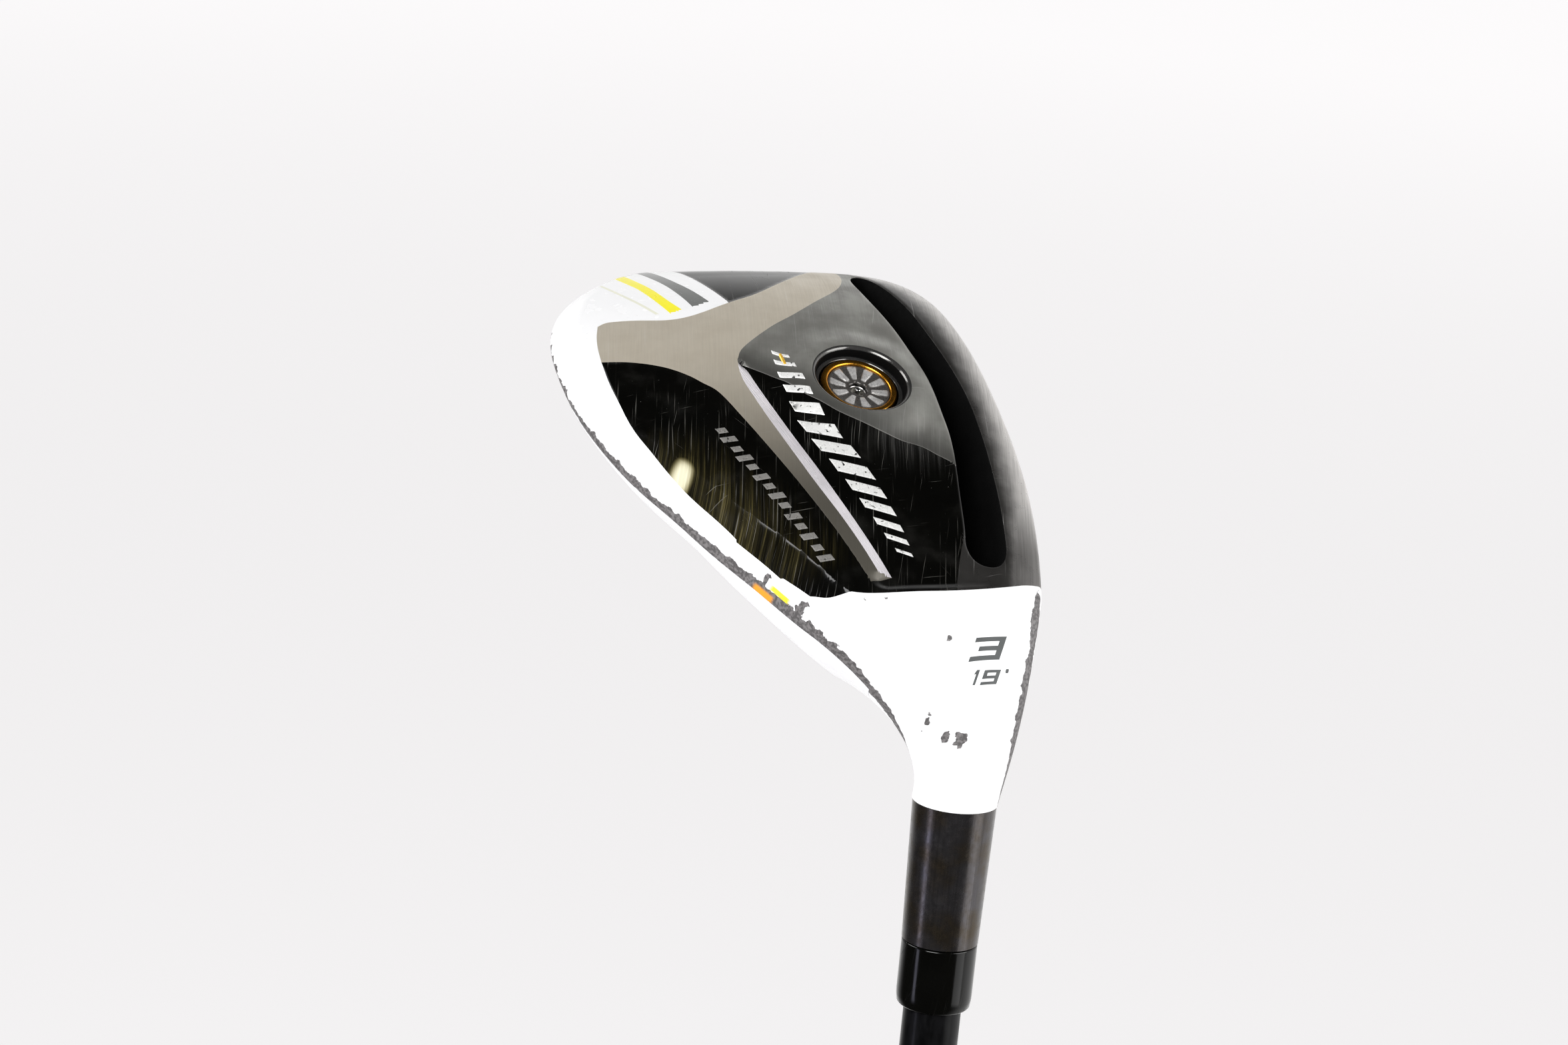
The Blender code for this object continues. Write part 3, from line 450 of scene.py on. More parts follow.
# ---------------------------------------------------------------- building solids
class Solid:
    """Points, faces and finish numbers of one piece, in millimetres."""

    def __init__(self):
        self.points = []
        self.faces = []
        self.finish = []

    def add(self, points):
        first = len(self.points)
        self.points += [tuple(float(c) for c in p) for p in points]
        return list(range(first, len(self.points)))

    def face(self, corners, finish=0):
        self.faces.append([int(c) for c in corners])
        self.finish.append(int(finish))

    def bridge(self, low, high, finish=0):
        """Band of quads between two closed loops of the same length."""
        for a, b, c, d in zip(low, low[1:] + low[:1], high[1:] + high[:1], high):
            self.face((a, b, c, d), finish)

    def mesh(self, name, smooth_angle, attributes=None):
        """Closed mesh in metres, faces turned outward, loose points dropped."""
        mesh = bpy.data.meshes.new(name)
        mesh.from_pydata([(x * MM, y * MM, z * MM) for x, y, z in self.points], [], self.faces)
        mesh.polygons.foreach_set("material_index", self.finish)
        for key, values in (attributes or {}).items():
            layer = mesh.attributes.new(key, "FLOAT", "POINT")
            layer.data.foreach_set("value", np.array(values, np.float32))
        edit = bmesh.new()
        edit.from_mesh(mesh)
        bmesh.ops.delete(edit, geom=[v for v in edit.verts if not v.link_faces], context="VERTS")
        bmesh.ops.recalc_face_normals(edit, faces=edit.faces)
        if edit.calc_volume(signed=True) < 0:
            bmesh.ops.reverse_faces(edit, faces=edit.faces)
        edit.to_mesh(mesh)
        borders = [e.index for e in edit.edges if BEVEL_HIGHLIGHT in {f.material_index for f in e.link_faces}
                   and len({f.material_index for f in e.link_faces}) == 2]
        edit.free()
        mesh.shade_smooth()
        mesh.set_sharp_from_angle(angle=radians(smooth_angle))
        for n in borders:
            mesh.edges[n].use_edge_sharp = True
        return mesh


def linked(obj):
    """Put a new object in the scene."""
    bpy.context.scene.collection.objects.link(obj)
    return obj


def piece(mesh, finishes, body, replaces=None, matrix=None):
    """Place a mesh on its body, with its materials and the CAD node it stands for."""
    obj = linked(bpy.data.objects.new(mesh.name, mesh))
    for finish in finishes:
        mesh.materials.append(finish)
    if matrix is not None:
        mesh.transform(matrix)
    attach(obj, body)
    if replaces:
        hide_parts(replaces)
    return obj


def grid_corners(i, j):
    """Corner numbers of the quad at loop i, point j of the skin."""
    k = (j + 1) % POINTS
    return i * POINTS + j, (i + 1) * POINTS + j, (i + 1) * POINTS + k, i * POINTS + k


def border_edges(quads):
    """Edges of a set of quads that belong to only one of them."""
    edges = {(a, b) for quad in quads for a, b in zip(quad, quad[1:] + quad[:1])}
    return [(a, b) for a, b in edges if (b, a) not in edges]


PLATE_RINGS = (TOE_RINGS - 1, TOE_RINGS - 1 + HEAD_RINGS)
PLATE_POINTS = (LEADING + EDGE_STRIP, POINTS - EDGE_STRIP)
CROWN_RINGS = (PLATE_RINGS[0] + 4, PLATE_RINGS[1] + 15)
CROWN_POINTS = (4, CROWN_STEPS - 3)
FACE_RINGS = (PLATE_RINGS[0] + 8, PLATE_RINGS[1] - 36)
FACE_POINTS = (TOP_LINE + 12, LEADING - 12)
PAINT_END_RING = PLATE_RINGS[1] + NECK_RINGS


def spanned(rings, points):
    """All (loop, point) pairs of a block of the skin."""
    return [(i, j) for i in range(*rings) for j in range(*points)]


def clear_of(xy, line, gap, closed=True):
    return distance_to(np.concatenate([line, line[:1]]) if closed else line, xy) > gap


def offset_slot(gap):
    return SLOT + line_normals(SLOT, True) * gap


def port_circle(radius, count=96):
    a = np.linspace(0, 2 * pi, count, endpoint=False)
    return np.stack([PORT_X + radius * np.cos(a), PORT_Y + radius * np.sin(a)], axis=1)


LINE_GAP, PORT_LINE_GAP, FILL_GAP, PORT_FILL_GAP = 0.1, 0.12, 0.2, 0.25


def plate_outlines(rim):
    """Lines that the triangles of the sole plate follow, kept just inside its rim."""
    shifted = [BAR_LEFT[2:-2] - STEP_WIDTH * line_normals(BAR_LEFT)[2:-2],
               BAND_HEEL[2:-2] + STEP_WIDTH * line_normals(BAND_HEEL)[2:-2]]
    slot_rim = offset_slot(SLOT_LIP[0][0] + LINE_GAP)
    port_rim = port_circle(PORT_LIP[0][0] + PORT_LINE_GAP)
    kept = []
    for line in OUTLINES + shifted:
        good = inside(rim, line) & clear_of(line, rim, LINE_GAP)
        good &= ~inside(slot_rim, line) & ~inside(port_rim, line)
        run = []
        for point, keep in list(zip(line, good)) + [(None, False)]:
            if keep:
                run.append(point)
                continue
            if len(run) > 1:
                kept.append((np.array(run), False))
            run = []
    return kept


def triangulated(rim, lines, filler, holes):
    """Triangles inside the rim and outside the holes, following the lines."""
    points = list(rim)
    edges = [(i, (i + 1) % len(rim)) for i in range(len(rim))]
    for line, closed in lines:
        first = len(points)
        points += list(line)
        count = len(line)
        edges += [(first + i, first + (i + 1) % count) for i in range(count if closed else count - 1)]
    points += list(filler)
    found = delaunay_2d_cdt([Vector(p) for p in points], edges, [], 0, MERGE)
    xy = np.array([tuple(v) for v in found[0]])
    triangles = np.array([f for f in found[2] if len(f) == 3])
    middle = xy[triangles].mean(axis=1)
    keep = inside(rim, middle)
    for hole in holes:
        keep &= ~inside(hole, middle)
    where = {source: n for n, sources in enumerate(found[3]) for source in sources}
    return xy, triangles[keep], where


def add_plate(solid, rings):
    """Sole plate with its outlines, relief, slot and weight port."""
    (first, last), (low, high) = PLATE_RINGS, PLATE_POINTS
    rim = [(first, j) for j in range(low, high)] + [(i, high) for i in range(first, last)]
    rim += [(last, j) for j in range(high, low, -1)] + [(i, low) for i in range(last, first, -1)]
    rim_index = [i * POINTS + j for i, j in rim]
    rim_xy = np.array([rings[i, j, :2] for i, j in rim])
    slots = [offset_slot(gap) for gap, _ in SLOT_LIP]
    ports = [port_circle(radius) for radius, _ in PORT_LIP]
    lines = [(loop, True) for loop in slots + ports] + plate_outlines(rim_xy)
    filler = rings[first + 1:last, low + 1:high, :2].reshape(-1, 2)
    free = ~inside(offset_slot(SLOT_LIP[0][0] + FILL_GAP), filler)
    free &= ~inside(port_circle(PORT_LIP[0][0] + PORT_FILL_GAP), filler)
    for line, closed in lines[len(slots) + len(ports):]:
        free &= clear_of(filler, line, FILL_GAP, closed)
    xy, triangles, where = triangulated(rim_xy, lines, filler[free], [slots[-1], ports[-1]])
    z = sole_height(xy[:, 0], xy[:, 1]) - relief(xy)
    count = len(rim_xy)
    for loop, (_, dip) in list(zip(slots, SLOT_LIP)) + list(zip(ports, PORT_LIP)):
        for n in range(len(loop)):
            z[where[count + n]] -= dip
        count += len(loop)
    numbers = np.array(solid.add(np.column_stack([xy, z])))
    for n, index in enumerate(rim_index):
        numbers[where[n]] = index
    middles = xy[triangles].mean(axis=1)
    finish = paint(middles)
    finish[inside(ports[0], middles)] = PORT_METAL
    for corners, kind in zip(numbers[triangles], finish):
        solid.face(corners, kind)
    slot_first = len(rim_xy) + len(SLOT) * (len(SLOT_LIP) - 1)
    port_first = len(rim_xy) + len(SLOT) * len(SLOT_LIP) + len(ports[0]) * (len(PORT_LIP) - 1)
    slot_loop = [int(numbers[where[slot_first + n]]) for n in range(len(SLOT))]
    port_loop = [int(numbers[where[port_first + n]]) for n in range(len(ports[0]))]
    add_slot(solid, slot_loop)
    add_port(solid, port_loop)


def add_slot(solid, loop):
    """Walls and floor of the sole slot, leaning back with the face."""
    start = np.array([solid.points[n] for n in loop])
    middle = np.array([SLOT_MIDDLE[np.argmin(np.hypot(*(SLOT_MIDDLE - p[:2]).T))] for p in start])
    inward = middle - start[:, :2]
    width = np.linalg.norm(inward, axis=1, keepdims=True)
    for gap, depth in SLOT_WALLS:
        xy = start[:, :2] + inward / width * np.minimum(gap, SLOT_REACH * width)
        xy[:, 1] += depth * tan(LOFT)
        level = solid.add(np.column_stack([xy, start[:, 2] - depth]))
        solid.bridge(loop, level, POCKET)
        loop = level
    solid.face(loop[::-1], POCKET)


def add_port(solid, loop):
    """Recess, ledge, counterbore and blind hole of the weight port."""
    start = np.array([solid.points[n] for n in loop])
    centre = np.array([PORT_X, PORT_Y])
    outward = start[:, :2] - centre
    outward /= np.linalg.norm(outward, axis=1, keepdims=True)
    levels = [(PORT_ENTRY[0], start[:, 2] - PORT_ENTRY[1])] + PORT_WALL
    for number, (radius, z) in enumerate(levels):
        xy = centre + outward * radius
        level = solid.add(np.column_stack([xy, np.zeros(len(xy)) + z]))
        solid.bridge(loop, level, PORT_METAL if number in PORT_LEDGE else POCKET)
        loop = level
    solid.face(loop[::-1], POCKET)


FACE_PAINT_X = 4.0
TIP_WHITE = LEADING + 60


def skin_finish(rings, i, j):
    """Finish number of the skin quad at loop i, point j, or None where the plan of the sole decides it."""
    if i >= PAINT_END_RING:
        return GUNMETAL
    if i >= PLATE_RINGS[1] or j < TOP_LINE:
        return WHITE
    if j < LEADING:
        return BLACK if rings[i, j, 0] > FACE_PAINT_X else WHITE
    return None


def edge_arc(rings, middle):
    """Distance along each loop from its corner, positive in the order of the loop."""
    rolled = np.roll(rings, -middle, axis=1)
    steps = np.linalg.norm(np.roll(rolled, -1, axis=1) - rolled, axis=2)
    forward = np.cumsum(steps, axis=1) - steps
    total = steps.sum(axis=1, keepdims=True)
    signed = np.where(forward > total / 2, forward - total, forward)
    return np.roll(signed, middle, axis=1)


CHIP_SPOTS = [(-2.8, 18.9, 0.3), (-2.6, 15.6, 0.45), (-8.7, 5.8, 0.4), (-19.0, 6.0, 0.6), (-20.0, 4.0, 1.0),
              (-16.5, 8.8, 0.5), (-23.6, -1.5, 0.7), (8.0, 31.0, 0.5), (26.0, 43.6, 0.35), (20.5, 41.0, 0.8),
              (17.5, 39.0, 0.4), (-0.5, 23.6, 0.3), (1.5, 26.8, 0.9)]


BACK_WEAR, BACK_CHIPS, FRONT_CHIPS = 1.15, 0.95, 1.1
SOLE_SIDE_Z, OFF_SOLE = -20, 3.0


def chip_reach(points, back, front):
    """How far, in millimetres, each point lies inside worn paint; negative where the paint is sound."""
    x, y = points[:, 0], points[:, 1]
    back_half = curve([-19, -16.5, -14, -8, 0, 12, 26, 38, 48, 56, 66, 80],
                      [-1.5, -0.5, 0.6, 1.1, 1.1, 1.05, 0.95, 0.8, 0.55, 0.45, 0.3, -0.2], x)
    reach = BACK_WEAR * back_half - np.abs(back - BACK_CHIPS)
    front_half = curve([-24, -20, -16, -10, -4, 0, 3], [-0.2, 1.2, 1.3, 0.95, 0.9, -0.3, -2.0], x)
    reach = np.maximum(reach, front_half - np.abs(front - FRONT_CHIPS))
    off_sole = OFF_SOLE * (points[:, 2] < SOLE_SIDE_Z)
    for spot_x, spot_y, radius in CHIP_SPOTS:
        reach = np.maximum(reach, radius - np.hypot(x - spot_x, y - spot_y) - off_sole)
    return reach


def blob(xy, centre, stretch, size):
    """Soft oval patch: 1 at its centre, falling off over about its size."""
    away = (xy - centre) / stretch
    return np.exp(-(np.hypot(away[:, 0], away[:, 1]) / size) ** 2)


def painted_sheen_spots(points):
    """Painted highlights on the panels: golden glow by the back edge and grey haze by the crease; and
    distance to the crease.
    """
    xy = points[:, :2]
    x = xy[:, 0]
    # Painted highlight: the golden glow's spot and its streak along the back edge
    highlight_core = blob(xy, (26.8, 41.6), (1.5, 1.0), 2.3)
    along = 0.3 * np.exp(-(distance_to(BAND_HEEL, xy) / 5.5) ** 2)
    along *= smoothstep(2.0, 9.0, x) * smoothstep(38.0, 29.0, x)
    haze = blob(xy, (32.0, 1.0), (1.1, 1.5), 4.2)
    return {"glow": np.maximum(highlight_core, along), "haze": haze, "crease": distance_to(CREASE, xy)}


SKIRT_HEIGHT = 14.0


def build_casting(rings, normals, finishes):
    """Head casting: skin, seats for crown and face, sole plate, slot, port and hosel bore."""
    solid = Solid()
    solid.add(rings.reshape(-1, 3))
    seat_depth = np.zeros(rings.shape[:2] + (1,))
    seat_depth[CROWN_RINGS[0]:CROWN_RINGS[1] + 1, CROWN_POINTS[0]:CROWN_POINTS[1] + 1] = CROWN_WALL + SEAM_GAP
    seat_depth[FACE_RINGS[0]:FACE_RINGS[1] + 1, FACE_POINTS[0]:FACE_POINTS[1] + 1] = FACE_WALL + SEAM_GAP
    seats = solid.add((rings - normals * seat_depth).reshape(-1, 3))
    seat_quads = []
    for span in ((CROWN_RINGS, CROWN_POINTS), (FACE_RINGS, FACE_POINTS)):
        seat_quads += [grid_corners(i, j) for i, j in spanned(*span)]
    for quad in seat_quads:
        solid.face([seats[n] for n in quad], POCKET)
    for a, b in border_edges(seat_quads):
        solid.face((b, a, seats[a], seats[b]), POCKET)
    seated = set(quad[0] for quad in seat_quads)
    plate = set(i * POINTS + j for i, j in spanned(PLATE_RINGS, PLATE_POINTS))
    sole_quads = []
    for i in range(len(rings) - 1):
        for j in range(POINTS):
            quad = grid_corners(i, j)
            if quad[0] in seated or quad[0] in plate:
                continue
            finish = skin_finish(rings, i, j)
            if finish is None:
                sole_quads.append(quad)
            else:
                solid.face(quad, finish)
    middles = rings.reshape(-1, 3)[np.array(sole_quads)].mean(axis=1)
    for quad, finish in zip(sole_quads, paint(middles[:, :2])):
        solid.face(quad, finish)
    tip = solid.add([rings[0].mean(axis=0)])[0]
    for j in range(POINTS):
        solid.face((tip, j, (j + 1) % POINTS), WHITE if j < TOP_LINE or j > TIP_WHITE else BLACK)
    loop = [(len(rings) - 1) * POINTS + j for j in range(POINTS)]
    for along in (RING_S + HOSEL_LENGTH, BORE_BOTTOM):
        level = solid.add(hosel_circle(along, BORE_R))
        solid.bridge(loop, level, POCKET)
        loop = level
    solid.face(loop, POCKET)
    back = edge_arc(rings, 0).reshape(-1)
    front = edge_arc(rings, LEADING).reshape(-1)
    add_plate(solid, rings)
    points = np.array(solid.points)
    y_back, z_back = back_edge(points[:, 0])
    plate_back = -np.hypot(y_back - points[:, 1], np.minimum(points[:, 2] - z_back, SKIRT_HEIGHT))
    plate_back[:len(back)] = back
    plate_front = points[:, 1] - leading_edge(points[:, 0])[0]
    plate_front[:len(front)] = front
    chips = chip_reach(points, plate_back, plate_front)
    mesh = solid.mesh("head_casting", 32.0, {"chip": chips, "edge": plate_back, "front": plate_front,
                                              **painted_sheen_spots(points)})
    return piece(mesh, finishes, "club", "head_body", HEAD)


def shell_mesh(name, rings, normals, ring_span, point_span, wall, grooves=None):
    """Thin closed shell over a block of the skin, drawn in by the seam all round."""
    grid = rings.copy()
    for edge, neighbour in ((ring_span[0], 1), (ring_span[1], -1)):
        step = rings[edge + neighbour] - rings[edge]
        grid[edge] += step / np.linalg.norm(step, axis=1, keepdims=True) * SEAM_GAP
    for edge, neighbour in ((point_span[0], 1), (point_span[1], -1)):
        step = rings[:, edge + neighbour] - rings[:, edge]
        grid[:, edge] += step / np.linalg.norm(step, axis=1, keepdims=True) * SEAM_GAP
    outer = grid if grooves is None else grid - normals * grooves[..., None]
    inner = grid - normals * wall
    solid = Solid()
    solid.add(outer.reshape(-1, 3))
    lower = solid.add(inner.reshape(-1, 3))
    quads = [grid_corners(i, j) for i, j in spanned(ring_span, point_span)]
    for quad in quads:
        solid.face(quad)
        solid.face([lower[n] for n in quad[::-1]])
    for a, b in border_edges(quads):
        solid.face((b, a, lower[a], lower[b]))
    return solid.mesh(name, 32.0)


def build_crown(rings, normals, finish):
    mesh = shell_mesh("crown_skin", rings, normals, CROWN_RINGS, CROWN_POINTS, CROWN_WALL)
    piece(mesh, [finish], "club", "crown_shell", HEAD)


GROOVE_ROWS, GROOVE_DEPTH, GROOVE_X = range(18, 70, 8), 0.25, (24.0, 66.0)


def build_face(rings, normals, finish):
    """Face insert with engraved score lines."""
    grooves = np.zeros(rings.shape[:2])
    x = rings[:, 0, 0]
    for row in GROOVE_ROWS:
        grooves[(x > GROOVE_X[0]) & (x < GROOVE_X[1]), TOP_LINE + row] = GROOVE_DEPTH
    mesh = shell_mesh("face_plate", rings, normals, FACE_RINGS, FACE_POINTS, FACE_WALL, grooves)
    piece(mesh, [finish], "club", "face_insert", HEAD)


def turned(name, profile, segments=96, smooth_angle=35.0):
    """Closed solid turned about z from a closed (radius, z) outline; radius 0 closes on the axis."""
    solid = Solid()
    loops = []
    angles = np.linspace(0, 2 * pi, segments, endpoint=False)
    for radius, z in profile:
        ring = np.column_stack([radius * np.cos(angles), radius * np.sin(angles), np.full(segments, z)])
        loops.append(solid.add(ring if radius > 0 else [(0.0, 0.0, z)]))
    for low, high in zip(loops, loops[1:] + loops[:1]):
        if len(low) > 1 and len(high) > 1:
            solid.bridge(low, high)
        elif len(low) > 1 or len(high) > 1:
            hub, ring = (low[0], high) if len(low) == 1 else (high[0], low)
            for a, b in zip(ring, ring[1:] + ring[:1]):
                solid.face((hub, a, b))
    return solid.mesh(name, smooth_angle)


# ---------------------------------------------------------------- marks on the sole and neck
PROBE_Z = 0.03


def surface_finder(obj):
    """Function that gives the height of a head piece's outer side over the sole plan, in millimetres."""
    to_head = HEAD.inverted()
    corners = [to_head @ v.co for v in obj.data.vertices]
    tree = BVHTree.FromPolygons(corners, [p.vertices[:] for p in obj.data.polygons])

    def height(x, y):
        hit = tree.ray_cast(Vector((x * MM, y * MM, PROBE_Z)), Vector((0, 0, -1)))[0]
        return hit.z / MM

    return height


def filled(loops):
    """Triangles inside closed loops, by the even-odd rule."""
    points = [Vector(p) for loop in loops for p in loop]
    edges = []
    first = 0
    for loop in loops:
        edges += [(first + i, first + (i + 1) % len(loop)) for i in range(len(loop))]
        first += len(loop)
    found = delaunay_2d_cdt(points, edges, [], 0, MERGE)
    xy = np.array([tuple(v) for v in found[0]])
    triangles = np.array(found[2])
    middle = xy[triangles].mean(axis=1)
    keep = np.zeros(len(middle), bool)
    for loop in loops:
        keep ^= inside(np.array(loop), middle)
    source = [sources[0] for sources in found[3]]
    return [[source[n] for n in t] for t in triangles[keep]]


def straight(points, step=0.5):
    """Closed outline with straight sides, cut into short steps."""
    out = []
    for start, end in zip(points, points[1:] + points[:1]):
        start, end = np.array(start, float), np.array(end, float)
        count = max(1, round(float(np.linalg.norm(end - start)) / step))
        out += [lerp(start, end, i / count) for i in range(count)]
    return np.array(out)


def inset(loop, gap):
    """Closed loop moved inwards by gap, less at its sharpest corners."""
    area = 0.5 * np.sum(loop[:, 0] * np.roll(loop[:, 1], -1) - np.roll(loop[:, 0], -1) * loop[:, 1])
    ahead = np.roll(loop, -1, axis=0) - loop
    behind = loop - np.roll(loop, 1, axis=0)
    ahead /= np.linalg.norm(ahead, axis=1, keepdims=True)
    behind /= np.linalg.norm(behind, axis=1, keepdims=True)
    left = np.column_stack([-(ahead + behind)[:, 1], (ahead + behind)[:, 0]])
    left /= np.linalg.norm(left, axis=1, keepdims=True)
    spread = np.abs(np.sum(left * np.column_stack([-ahead[:, 1], ahead[:, 0]]), axis=1, keepdims=True))
    return loop + left * gap * np.sign(area) / np.maximum(spread, 0.35)


def add_mark(solid, loops, height, bevel, surface, root=0.25):
    """Raised mark: closed loops in the plan, lifted by height, with a bevelled top and a sunk root."""
    tops = [inset(loop, bevel if n == 0 else -bevel) for n, loop in enumerate(loops)]
    levels = []
    for outline, lift in ((loops, -root), (loops, height * 0.4), (tops, height)):
        levels.append([solid.add([(x, y, surface(x, y) + lift) for x, y in loop]) for loop in outline])
    for low, high in zip(levels, levels[1:]):
        for a, b in zip(low, high):
            solid.bridge(a, b)
    top = [n for loop in levels[2] for n in loop]
    bottom = [n for loop in levels[0] for n in loop]
    for triangle in filled(tops):
        solid.face([top[n] for n in triangle])
    for triangle in filled(loops):
        solid.face([bottom[n] for n in triangle[::-1]])


def slanted_bar(middle, along, length, width, slant):
    """Parallelogram of the given length along a direction and width across it."""
    along = np.array(along, float) / np.linalg.norm(along)
    across = np.array([-along[1], along[0]])
    corners = []
    for a, c in ((-1, -1), (1, -1), (1, 1), (-1, 1)):
        shift = along * (a * length + c * slant * width) / 2
        corners.append(tuple(np.array(middle) + shift + across * c * width / 2))
    return corners


PATH_STEP = 0.25
EMBLEM_PATH = resample([(52.5, 19.6), (45, 19.3), (36, 18.3), (25, 14.8), (15, 12.1), (5.5, 10)], PATH_STEP)
EMBLEM_BARS = [(0.03, 0.8, 2.4), (0.085, 1.1, 2.8), (0.15, 1.5, 3.2), (0.225, 1.8, 3.4), (0.31, 2.4, 3.8),
               (0.41, 2.9, 4.8), (0.51, 3.0, 5.2), (0.61, 2.9, 5.0), (0.705, 2.4, 4.6), (0.79, 2.0, 4.2),
               (0.865, 1.5, 3.6), (0.93, 1.1, 3.0), (0.985, 0.7, 2.2)]
SMALL_PATH = resample([(35, 34), (28, 31.8), (20, 28.8), (12, 26), (4.6, 23.2)], PATH_STEP)
SMALL_BARS = [(0.03 + 0.94 * n / 13, 1.25, 1.5 + 0.8 * (n % 2)) for n in range(14)]
ACCENT_BAR = [(0.055, 3.0, 0.55)]
BAR_EDGE, NUMBER_LIFT, NUMBER_EDGE, NUMBER_ROOT, NUMBER_TURN = 0.12, 0.04, 0.03, 0.12, 0.06


def bars_along(name, path, bars, slant, height, surface, finish):
    """Row of slanted bars along a path: share of the path, length along it and width across it."""
    solid = Solid()
    for share, length, width in bars:
        n = min(max(round(share * (len(path) - 1)), 1), len(path) - 2)
        outline = straight(slanted_bar(path[n], path[n + 1] - path[n - 1], length, width, slant))
        add_mark(solid, [outline], height, BAR_EDGE, surface)
    piece(solid.mesh(name, 25.0), [finish], "club", None, HEAD)


THREE = [(0, 1), (1, 1), (1, 0), (0, 0), (0, 0.2), (0.8, 0.2), (0.8, 0.4), (0.2, 0.4), (0.2, 0.6), (0.8, 0.6),
         (0.8, 0.8), (0, 0.8)]
ONE = [(0.35, 0), (0.62, 0), (0.62, 1), (0.3, 1), (0.12, 0.72), (0.35, 0.72)]
NINE = [(0, 0), (1, 0), (1, 1), (0, 1), (0, 0.4), (0.76, 0.4), (0.76, 0.2), (0, 0.2)]
NINE_HOLE = [(0.24, 0.6), (0.76, 0.6), (0.76, 0.8), (0.24, 0.8)]
DEGREE = [(0, 0), (0.5, -0.1), (1, 0), (1.1, 0.5), (1, 1), (0.5, 1.1), (0, 1), (-0.1, 0.5)]


def glyph(shape, corner, width, height, slant=0.5):
    """Outline of a slanted numeral; up is towards the toe and right towards the face."""
    out = []
    for u, v in shape:
        right, up = u * width + v * height * slant, v * height
        out.append((corner[0] + up * cos(NUMBER_TURN) + right * sin(NUMBER_TURN),
                    corner[1] - right * cos(NUMBER_TURN) - up * sin(NUMBER_TURN)))
    return straight(out, 0.35)


def build_marks(surface, finishes):
    """Abstract badges in place of the maker's lettering, and the plain loft numbers on the neck."""
    bars_along("badge_bars", EMBLEM_PATH, EMBLEM_BARS, 0.75, 0.14, surface, finishes["silver"])
    bars_along("small_bars", SMALL_PATH, SMALL_BARS, 0.3, 0.12, surface, finishes["pewter"])
    bars_along("badge_accent", EMBLEM_PATH, ACCENT_BAR, 0.0, 0.2, surface, finishes["amber"])
    numbers = Solid()
    nine_place = ((-14.7, 1.1), 2.9, 1.7)
    for loops, edge in (([glyph(THREE, (-11.9, 2.9), 5.4, 3.0)], NUMBER_EDGE),
                        ([glyph(ONE, (-14.7, 2.9), 1.6, 1.7)], NUMBER_EDGE),
                        ([glyph(NINE, *nine_place), glyph(NINE_HOLE, *nine_place)], NUMBER_EDGE),
                        ([glyph(DEGREE, (-13.1, -3.5), 0.5, 0.45, 0.3)], 0.02)):
        add_mark(numbers, loops, NUMBER_LIFT, edge, surface, NUMBER_ROOT)
    piece(numbers.mesh("loft_numbers", 25.0), [finishes["number"]], "club", None, HEAD)


# ---------------------------------------------------------------- sole weight
PORT_PLACE = HEAD @ Matrix.Translation((PORT_X * MM, PORT_Y * MM, 0.0))
ROUND, PETALS = 120, 10
ANGLES = np.linspace(0, 2 * pi, ROUND, endpoint=False)
DISC_R, DISC_EDGE_Z, PETAL_HEIGHT, DISH = 5.3, -1.55, 0.26, 0.4
THREAD_PITCH, THREAD_R, THREAD_DEPTH = 1.0, 3.99, 0.55
SHANK_Z = (-12.0, -4.9)


def arc(centre, radius, start, sweep, count=6):
    """Points (radius, z) of an arc in a turned outline, angles in degrees."""
    a = np.radians(np.linspace(start, start + sweep, count))
    return [(centre[0] + radius * cos(t), centre[1] + radius * sin(t)) for t in a]


def turned_field(name, levels, cap_ends, smooth_angle=35.0, attributes=None):
    """Closed solid from loops whose radius and height may change round the axis."""
    solid = Solid()
    loops = []
    for radius, z in levels:
        loop = np.column_stack([radius * np.cos(ANGLES), radius * np.sin(ANGLES), z + 0 * ANGLES])
        loops.append(solid.add(loop))
    pairs = list(zip(loops, loops[1:] + loops[:1]))
    for low, high in pairs[:-1] if cap_ends else pairs:
        solid.bridge(low, high)
    if cap_ends:
        solid.face(loops[0][::-1])
        solid.face(loops[-1])
    return solid.mesh(name, smooth_angle, attributes)


def medallion_mesh():
    """Dished disc with raised petals round a six-lobed hole; its attribute marks the petals."""
    petal = smoothstep(0.30, 0.62, 0.5 + 0.5 * np.cos(PETALS * ANGLES))
    levels = [(DISC_R, -2.3), (DISC_R, DISC_EDGE_Z), (5.05, -1.5)]
    shade = [0.3 * petal] * len(levels)
    for radius in np.linspace(4.85, 2.0, 16):
        spread = smoothstep(1.95, 2.5, radius) * smoothstep(5.1, 4.75, radius)
        levels.append((radius, -1.58 - DISH * (1 - (radius / 5.0) ** 2) + PETAL_HEIGHT * spread * petal))
        shade.append(spread * petal)
    hole = 1.5 + 0.13 * np.cos(6 * ANGLES)
    rim = [(1.85, -1.86), (hole + 0.12, -1.84), (hole, -1.95), (hole, -2.3)]
    shade += [0 * petal] * len(rim)
    return turned_field("medallion", levels + rim, False, 40.0, {"petal": np.concatenate(shade)})


def threaded_mesh():
    """Weight's screw: helical thread on the shank below a round head with a socket."""
    levels = [(np.full(ROUND, 3.1), -12.2)]
    for z in np.linspace(*SHANK_Z, 72):
        phase = np.abs(((z / THREAD_PITCH - ANGLES / (2 * pi)) % 1.0) * 2 - 1)
        groove = THREAD_DEPTH * smoothstep(0.15, 0.85, phase) * smoothstep(SHANK_Z[1], SHANK_Z[1] - 0.7, z)
        levels.append((THREAD_R - groove, z))
    levels += [(4.0, -4.7), (6.2, -4.7), (6.4, -4.5), (6.4, -2.8), (6.2, -2.6), (1.45, -2.6), (1.35, -2.7),
               (1.35, -4.2)]
    return turned_field("threaded_weight", levels, True)


